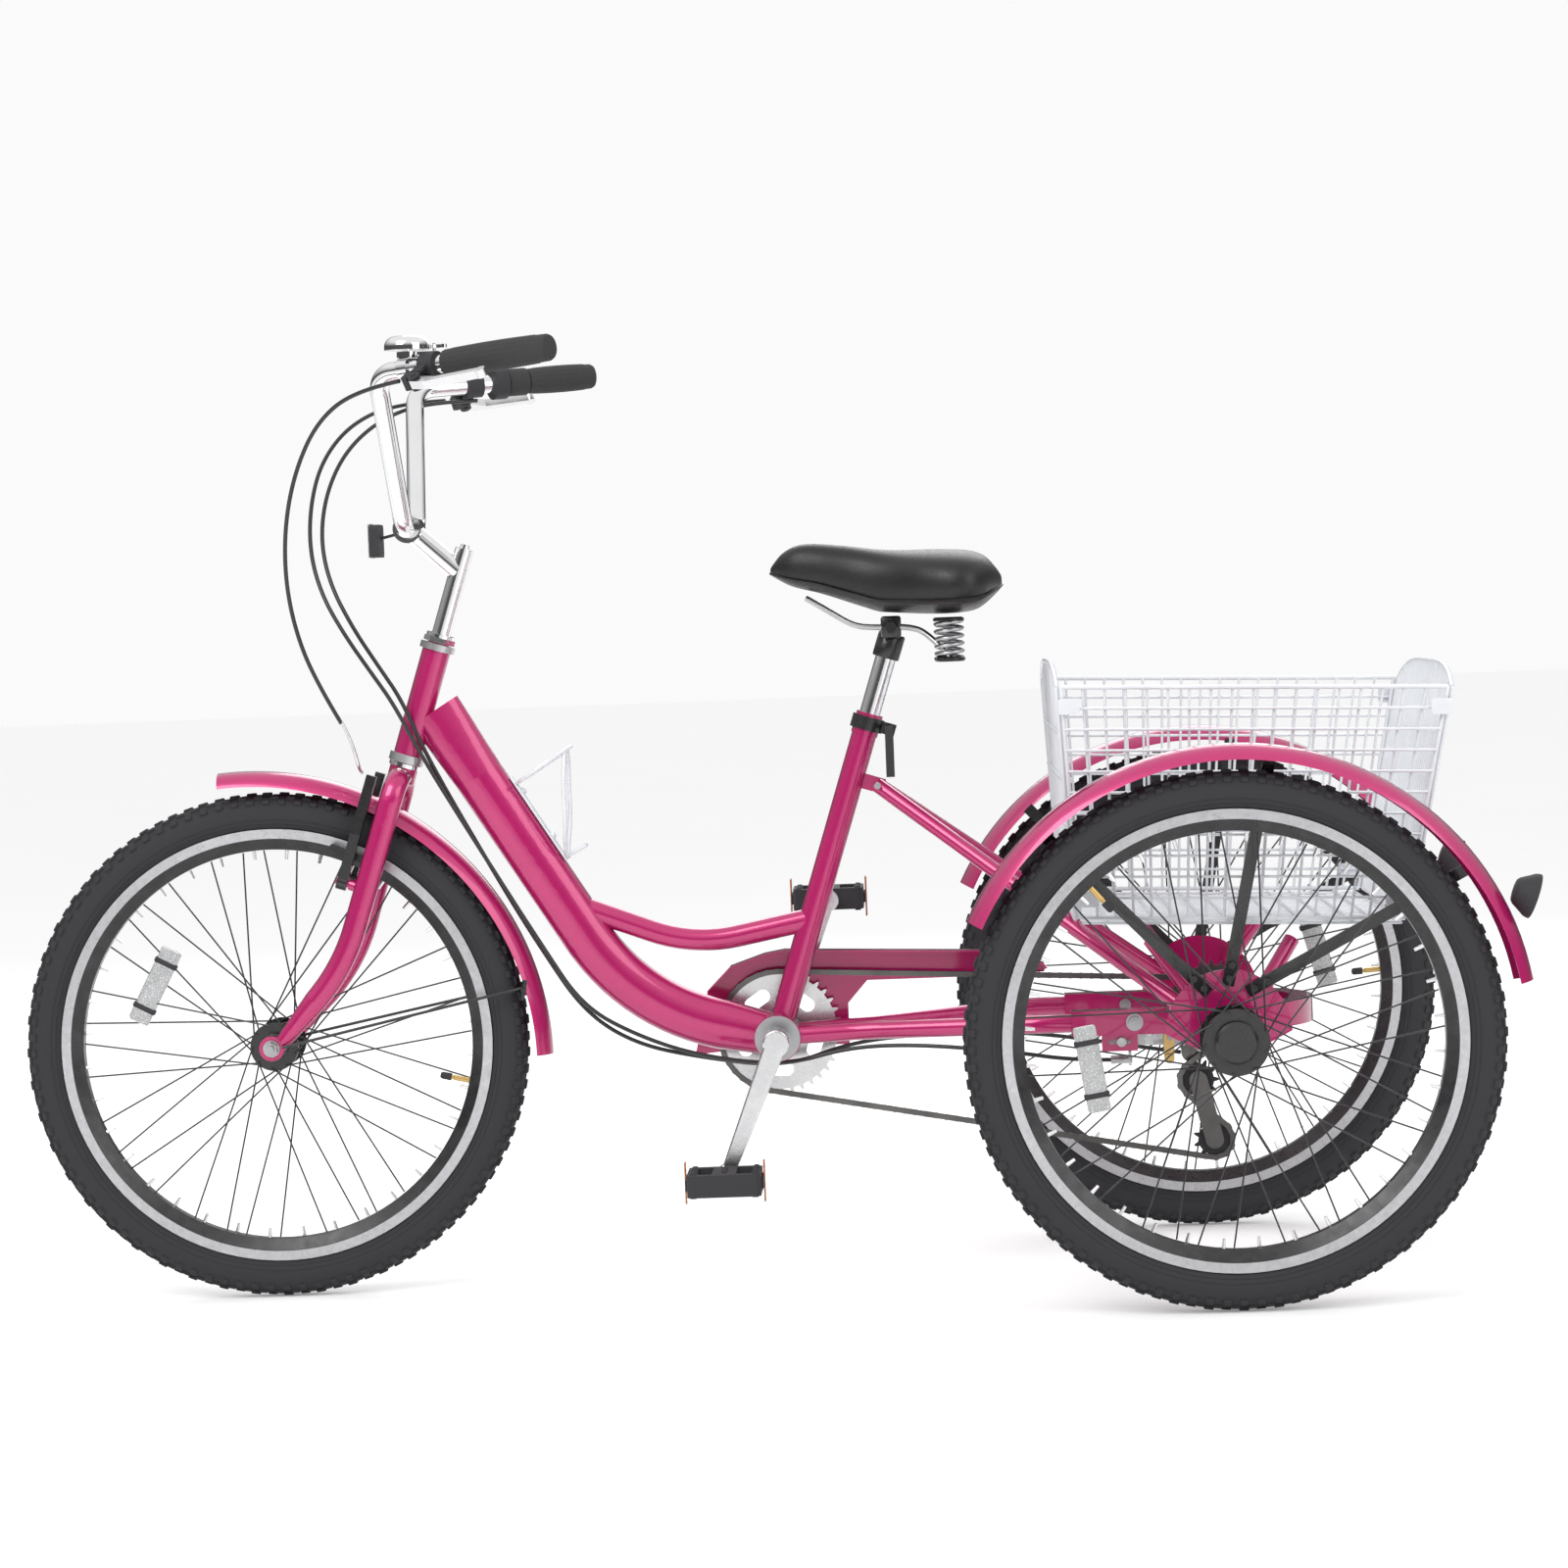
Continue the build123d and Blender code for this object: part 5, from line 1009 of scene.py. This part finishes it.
# ------------------------------------------------------------------ drive
@dataclass
class Drive:
    """Roller chain, pedals' reflectors and studs."""

    pitch: float = 0.0127
    line: float = 0.045
    plate_end: float = 0.0039
    plate_waist: float = 0.0031
    plate_half: float = 0.0003
    crank: Vector = field(default_factory=lambda: Vector((0.018, 0.0, 0.2935)))
    cog: Vector = field(default_factory=lambda: Vector((0.5395, 0.0, 0.304)))
    guide: Vector = field(default_factory=lambda: Vector((0.5209, 0.0, 0.2175)))
    tension: Vector = field(default_factory=lambda: Vector((0.5385, 0.0, 0.145)))

    def radius(self, teeth: int) -> float:
        """Pitch radius of a chain wheel."""
        return self.pitch / 2 / math.sin(math.pi / teeth)

    def path(self) -> list[Vector]:
        """Centre line of the whole chain, as close points.

        Returns:
            Points once round, about a millimetre apart.
        """
        stops = (
            (self.crank, self.radius(36), 1), (self.cog, self.radius(18), 1),
            (self.guide, self.radius(11), -1), (self.tension, self.radius(11), 1),
        )
        hands = []
        for (ca, ra, sa), (cb, rb, sb) in zip(stops, stops[1:] + stops[:1]):
            run = Vector((cb.x - ca.x, cb.z - ca.z))
            reach = run.length
            lean = math.atan2(run.y, run.x)
            swing = math.asin((sa * ra - sb * rb) / reach)
            normal = lean + math.pi / 2 - swing
            n = Vector((math.cos(normal), math.sin(normal)))
            hands.append((Vector((ca.x, ca.z)) + n * ra * sa, Vector((cb.x, cb.z)) + n * rb * sb))
        points: list[Vector] = []
        for index, (start, end) in enumerate(hands):
            centre, reach, sense = stops[index]
            before = hands[index - 1][1]
            a = math.atan2(before.y - centre.z, before.x - centre.x)
            b = math.atan2(start.y - centre.z, start.x - centre.x)
            sweep = (a - b) % math.tau if sense > 0 else -((b - a) % math.tau)
            steps = max(int(abs(sweep) * reach / 0.001), 2)
            for step in range(steps):
                angle = a - sweep * step / steps
                x, z = reach * math.cos(angle), reach * math.sin(angle)
                points.append(Vector((centre.x + x, self.line, centre.z + z)))
            steps = max(int((end - start).length / 0.001), 2)
            for step in range(steps):
                at = start.lerp(end, step / steps)
                points.append(Vector((at.x, self.line, at.y)))
        return points

    def plate_outline(self, half: float, steps: int = 20) -> list[tuple[float, float]]:
        """Waisted outline of one link plate, along and across the chain.

        Args:
            half: Half of the distance between its pins.
            steps: Number of points.

        Returns:
            The outline's points.
        """
        loop = []
        for step in range(steps):
            angle = math.tau * step / steps
            c, s = math.cos(angle), math.sin(angle)
            if abs(c) > 0.35:
                loop.append((math.copysign(half, c) + self.plate_end * c, self.plate_end * s))
            else:
                loop.append((half * c * 2.2, math.copysign(self.plate_waist, s)))
        return loop

    def chain(self) -> None:
        """Rollers and pairs of waisted plates, in place of the CAD runs."""
        points = self.path()
        lengths = [0.0]
        closed = points + points[:1]
        for a, b in zip(closed, closed[1:]):
            lengths.append(lengths[-1] + (b - a).length)
        total = lengths[-1]
        count = round(total / self.pitch)
        pins, at = [], 0
        for index in range(count):
            want = total * index / count
            while lengths[at + 1] < want:
                at += 1
            share = (want - lengths[at]) / (lengths[at + 1] - lengths[at])
            pins.append(closed[at].lerp(closed[at + 1], share))
        form = bmesh.new()
        across = Matrix.Rotation(math.radians(-90), 4, "X")
        for index, pin in enumerate(pins):
            after = pins[(index + 1) % count]
            place = Matrix.Translation(pin) @ across
            lathe(form, [(0.0037, -0.0012), (0.0039, -0.0008), (0.0039, 0.0008), (0.0037, 0.0012)], place, 10)
            lathe(form, [(0.0017, -0.0037), (0.0017, 0.0037)], place, 8)
            wide = 0.0024 if index % 2 else 0.0033
            way = (after - pin).normalized()
            up = Vector((0, 1, 0)).cross(way)
            middle, loop = (pin + after) / 2, self.plate_outline((after - pin).length / 2)
            for face in (-1, 1):
                rows = []
                for y in (wide - self.plate_half, wide + self.plate_half):
                    out = middle + Vector((0, face * y, 0))
                    rows.append([form.verts.new(out + way * x + up * z) for x, z in loop])
                form.faces.new(rows[0])
                form.faces.new(rows[1])
                for step in range(len(loop)):
                    nxt = (step + 1) % len(loop)
                    form.faces.new((rows[0][step], rows[0][nxt], rows[1][nxt], rows[1][step]))
        made = piece("roller_chain", mesh_of(form, "chain"), DARK_STEEL, "frame")
        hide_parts("chain")

    def pedals(self) -> None:
        """Amber reflectors and tread studs on both pedals."""
        for node in ("pedal_left", "pedal_right"):
            low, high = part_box(node)
            middle = (low + high) / 2
            form = bmesh.new()
            for x, way in ((low.x, -1), (high.x, 1)):
                place = Matrix.Translation((x + way * 0.0006, middle.y, middle.z)) @ turn_to((way, 0, 0))
                slab(form, place, (0.011, 0.050, 0.0022), 0.05, 0.0007)
            piece(f"{node}_reflectors", mesh_of(form, "amber"), AMBER, node)
            form = bmesh.new()
            for top in (-1, 1):
                for row in (-0.036, 0.036, 0.0):
                    for step in range(-5, 6):
                        if row == 0.0 and abs(step) > 3:
                            continue
                        shift = Vector((row, step * 0.0062, top * 0.0135))
                        slab(form, Matrix.Translation(middle + shift), (0.0075, 0.0030, 0.0026), 0.3, 0.0005)
            piece(f"{node}_studs", mesh_of(form, "studs"), PLASTIC, node)

    def build(self) -> None:
        """Make the drive's pieces."""
        self.chain()
        self.pedals()


# ------------------------------------------------------------------ lamps
@dataclass
class Lamps:
    """Round rear lamps on the fender tips."""

    half_track: float = 0.315
    tilt: Vector = field(default_factory=lambda: Vector((0.94, 0.0, -0.34)))

    def build(self) -> None:
        """Housings and domed red lenses, in place of the CAD lamps."""
        low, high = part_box("tail_lights")
        housing, lens = bmesh.new(), bmesh.new()
        shell = [
            (0.006, -0.0225), (0.0128, -0.0215), (0.0155, -0.019), (0.0205, -0.0105), (0.0246, -0.004),
            (0.0256, 0.0), (0.0256, 0.0025), (0.0236, 0.0025), (0.0236, 0.0),
        ]
        bows = [math.radians(turn) for turn in range(0, 85, 10)]
        dome = [(0.0235 * math.cos(a), 0.0005 + 0.0052 * math.sin(a)) for a in bows]
        way = self.tilt.normalized()
        for side in Side:
            mouth = Vector((high.x - 0.0122, side.value * self.half_track, (low.z + high.z) / 2 - 0.0005))
            place = Matrix.Translation(mouth) @ turn_to(way)
            lathe(housing, shell, place, 56)
            lathe(lens, dome, place, 56)
        made = piece("lamp_housings", mesh_of(housing, "housing"), PLASTIC, "frame")
        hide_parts("tail_lights")
        piece("lamp_lenses", mesh_of(lens, "lens"), RED, "frame")


# ------------------------------------------------------------------ bottle cage
@dataclass
class BottleCage:
    """Bent wire cage on a strap, in place of the CAD holder."""

    hoop_centre: Point = (-0.25028, 0.0, 0.62872)
    down: Point = (0.5284, 0.0, -0.849)
    lift: Point = (0.849, 0.0, 0.5284)
    centre_out: float = 43.0
    hoop_radius: float = 38.5
    wire: float = 0.0026

    def point(self, along: float, out: float, side: float) -> Vector:
        """Place a point by millimetres down the tube, off it and to a side.

        Args:
            along: Distance down the tube from the hoop.
            out: Distance from the tube's surface.
            side: Distance to the rider's right.

        Returns:
            The point, in metres.
        """
        shift = Vector(self.down) * along + Vector(self.lift) * (out - self.centre_out) + Vector((0, side, 0))
        return Vector(self.hoop_centre) + shift / 1000

    def build(self) -> None:
        """Make the hoop, the side wires, the foot loop and the strap with its screws."""
        hoop = []
        for index in range(49):
            angle = math.tau * index / 48
            out = self.centre_out + self.hoop_radius * math.sin(angle)
            hoop.append(self.point(0, out, self.hoop_radius * math.cos(angle)))
        routes = [hoop]
        for side in (-1, 1):
            route = ((0, 74, 22), (10, 68, 31), (36, 50, 40), (70, 30, 38), (96, 10, 22), (108, 4, 6))
            routes.append([self.point(along, out, side * wide) for along, out, wide in route])
        made = wires("cage_wires", routes, self.wire, WHITE_WITH_PAINTED_SHADE, "frame", smooth=True)
        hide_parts("bottle_cage")
        foot = [self.point(*at) for at in ((106, 3, -7), (108, 30, -10), (108, 30, 10), (106, 3, 7))]
        wires("cage_foot", [foot], self.wire, WHITE_WITH_PAINTED_SHADE, "frame")
        form = bmesh.new()
        turn = Matrix((self.down, (0, 1, 0), self.lift)).transposed().to_4x4()
        slab(form, Matrix.Translation(self.point(50, 1.5, 0)) @ turn, (0.120, 0.016, 0.003), 0.0, 0.001)
        for along in (12, 76):
            place = Matrix.Translation(self.point(along, 3, 0)) @ turn_to(self.lift)
            lathe(form, [(0.0045, 0.0), (0.0045, 0.0028), (0.0034, 0.004)], place, 24)
        piece("cage_strap", mesh_of(form, "strap"), WHITE_WITH_PAINTED_SHADE, "frame")


# ------------------------------------------------------------------ carried-over nodes
NODE_FINISHES: dict[str, Finish] = {
    "main_frame": PAINT, "rear_frame": PAINT, "fork": PAINT, "chain_guard": PAINT,
    "front_fender": PAINT, "rear_fenders": PAINT, "rear_stays": BLACK, "front_fender_stays": BLACK_WIRE,
    "front_hub": BLACK, "rear_left_hub": BLACK, "rear_right_hub": BLACK,
    "front_spokes": BLACK_WIRE, "rear_left_spokes": BLACK_WIRE, "rear_right_spokes": BLACK_WIRE,
    "rear_axle": STEEL, "front_axle": STEEL, "frame_bolts": STEEL, "bearing_cups": STEEL,
    "band_brake": GALVANISED, "band_brake_arm": BRASS,
    "handlebar": CHROME, "stem": CHROME, "bell": CHROME, "bell_striker": CHROME, "seat_post": CHROME,
    "crankset": ALLOY, "chainring": ALLOY, "brake_lever_left": ALLOY, "brake_lever_right": ALLOY,
    "brake_arm_left": BLACK, "brake_arm_right": BLACK,
    "sprockets": DARK_STEEL, "derailleur_body": DARK_STEEL, "derailleur_cage": DARK_STEEL,
    "guide_pulley": PLASTIC, "tension_pulley": PLASTIC, "lever_mounts": PLASTIC, "front_reflector": PLASTIC,
    "quick_release": PLASTIC, "seat_collar": BLACK, "pedal_left": PLASTIC, "pedal_right": PLASTIC,
    "basket_clips": WHITE_WITH_PAINTED_SHADE, "bottle_cage": WHITE_WITH_PAINTED_SHADE,
}


def dress(node: str, finish: Finish) -> None:
    """Give a CAD node its finish and smooth shading.

    Args:
        node: Name of the node.
        finish: Its finish.
    """
    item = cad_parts[node]
    item.data.materials.clear()
    item.data.materials.append(finish.material())
    item.data.shade_smooth()
    item.data.set_sharp_from_angle(angle=Shade.SMOOTH.value)


# ------------------------------------------------------------------ studio
@dataclass
class Studio:
    """Pale floor, soft lights and the camera."""

    eye: Point = (0.19679, -4.83967, 0.81031)
    turn: Point = (87.4514, 2.1816, 1.8050)
    lens: float = 93.0
    floor_tone: Colour = (0.86, 0.86, 0.86)

    def floor(self) -> None:
        """Wide pale floor just under the tyres."""
        form = bmesh.new()
        bmesh.ops.create_grid(form, x_segments=8, y_segments=8, size=30.0)
        for vert in form.verts:
            vert.co.z = -0.0005
        mesh = mesh_of(form, "studio_floor")
        recipe = Recipe("floor_paint")
        recipe.put(Base_Color=self.floor_tone, Roughness=0.75)
        recipe.put(Emission_Color=(1.0, 1.0, 1.0), Emission_Strength=0.2)
        tone = recipe.span(recipe.noise(1.4, 3.0), 0.3, 0.7)
        dull = tuple(c * 0.985 for c in self.floor_tone)
        recipe.wire(recipe.blend(tone, self.floor_tone, dull), "Base Color")
        mesh.materials.append(recipe.material)
        made = bpy.data.objects.new("studio_floor", mesh)
        bpy.context.scene.collection.objects.link(made)

    def lamp(self, name: str, place: Point, aim: Point, size: float, power: float) -> None:
        """Add one soft area light.

        Args:
            name: Its name.
            place: Where it hangs.
            aim: Point that it faces.
            size: Edge of its square.
            power: Watts.
        """
        data = bpy.data.lights.new(name, "AREA")
        data.size = size
        data.energy = power
        made = bpy.data.objects.new(name, data)
        made.location = place
        made.rotation_euler = (Vector(aim) - Vector(place)).to_track_quat("-Z", "Y").to_euler()
        bpy.context.scene.collection.objects.link(made)

    def world(self) -> None:
        """Pale surroundings that grow darker low down, so that plated parts show contrast."""
        world = bpy.data.worlds.new("studio_world")
        world.use_nodes = True
        tree = world.node_tree
        back = tree.nodes["Background"]
        back.inputs["Strength"].default_value = 1.0
        coord = tree.nodes.new("ShaderNodeTexCoord")
        split = tree.nodes.new("ShaderNodeSeparateXYZ")
        ramp = tree.nodes.new("ShaderNodeValToRGB")
        path = tree.nodes.new("ShaderNodeLightPath")
        choose = tree.nodes.new("ShaderNodeMix")
        choose.data_type = "RGBA"
        tree.links.new(coord.outputs["Generated"], split.inputs[0])
        tree.links.new(split.outputs["Z"], ramp.inputs["Fac"])
        for place, tone in ((0.0, 0.10), (0.12, 0.07), (0.3, 0.45), (0.62, 1.0)):
            stop = ramp.color_ramp.elements[0] if place == 0.0 else ramp.color_ramp.elements.new(place)
            stop.position = place
            stop.color = (tone, tone, tone, 1.0)
        ramp.color_ramp.elements[-1].color = (1.0, 1.0, 1.0, 1.0)
        tree.links.new(path.outputs["Is Camera Ray"], choose.inputs[0])
        tree.links.new(ramp.outputs["Color"], choose.inputs[6])
        choose.inputs[7].default_value = (0.96, 0.96, 0.96, 1.0)
        tree.links.new(choose.outputs[2], back.inputs["Color"])
        bpy.context.scene.world = world
        bpy.context.scene.view_settings.view_transform = "Standard"

    def camera(self) -> None:
        """Long lens, level with the rider's hands, seen from the left."""
        data = bpy.data.cameras.new("studio_camera")
        data.sensor_width = 36.0
        data.lens = self.lens
        made = bpy.data.objects.new("studio_camera", data)
        made.location = self.eye
        made.rotation_euler = tuple(math.radians(a) for a in self.turn)
        bpy.context.scene.collection.objects.link(made)
        bpy.context.scene.camera = made

    def build(self) -> None:
        """Set the whole studio."""
        self.floor()
        self.world()
        self.lamp("key_light", (-1.8, -2.6, 3.2), (0.0, 0.0, 0.5), 2.4, 85.0)
        self.lamp("fill_light", (2.8, -2.4, 2.0), (0.1, 0.0, 0.5), 2.6, 42.0)
        self.lamp("back_light", (0.4, 3.2, 2.8), (0.0, 0.0, 0.6), 2.6, 50.0)
        self.camera()


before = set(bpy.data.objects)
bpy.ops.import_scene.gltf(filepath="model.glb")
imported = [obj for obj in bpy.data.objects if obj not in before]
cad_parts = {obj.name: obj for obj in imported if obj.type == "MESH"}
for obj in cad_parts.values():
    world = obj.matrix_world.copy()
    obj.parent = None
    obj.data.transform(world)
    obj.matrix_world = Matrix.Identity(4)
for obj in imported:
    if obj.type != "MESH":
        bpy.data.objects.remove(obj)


def main() -> None:
    """Build the tricycle's looks in order."""
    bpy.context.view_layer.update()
    for node, finish in NODE_FINISHES.items():
        dress(node, finish)
    parts = (
        Wheel("front", "front_wheel", math.radians(102.8), math.radians(-62.0), -0.012),
        Wheel("rear_left", "rear_wheel_left", math.radians(-41.3), math.radians(-99.0), -0.012),
        Wheel("rear_right", "rear_wheel_right", math.radians(86.6), math.radians(75.0), 0.012),
        Saddle(), Basket(), Controls(), Drive(), BottleCage(), Lamps(), Studio(),
    )
    for part in parts:
        part.build()
        LOG.info("built %s", type(part).__name__)


if __name__ == "__main__":
    logging.basicConfig(level=logging.INFO)
    main()
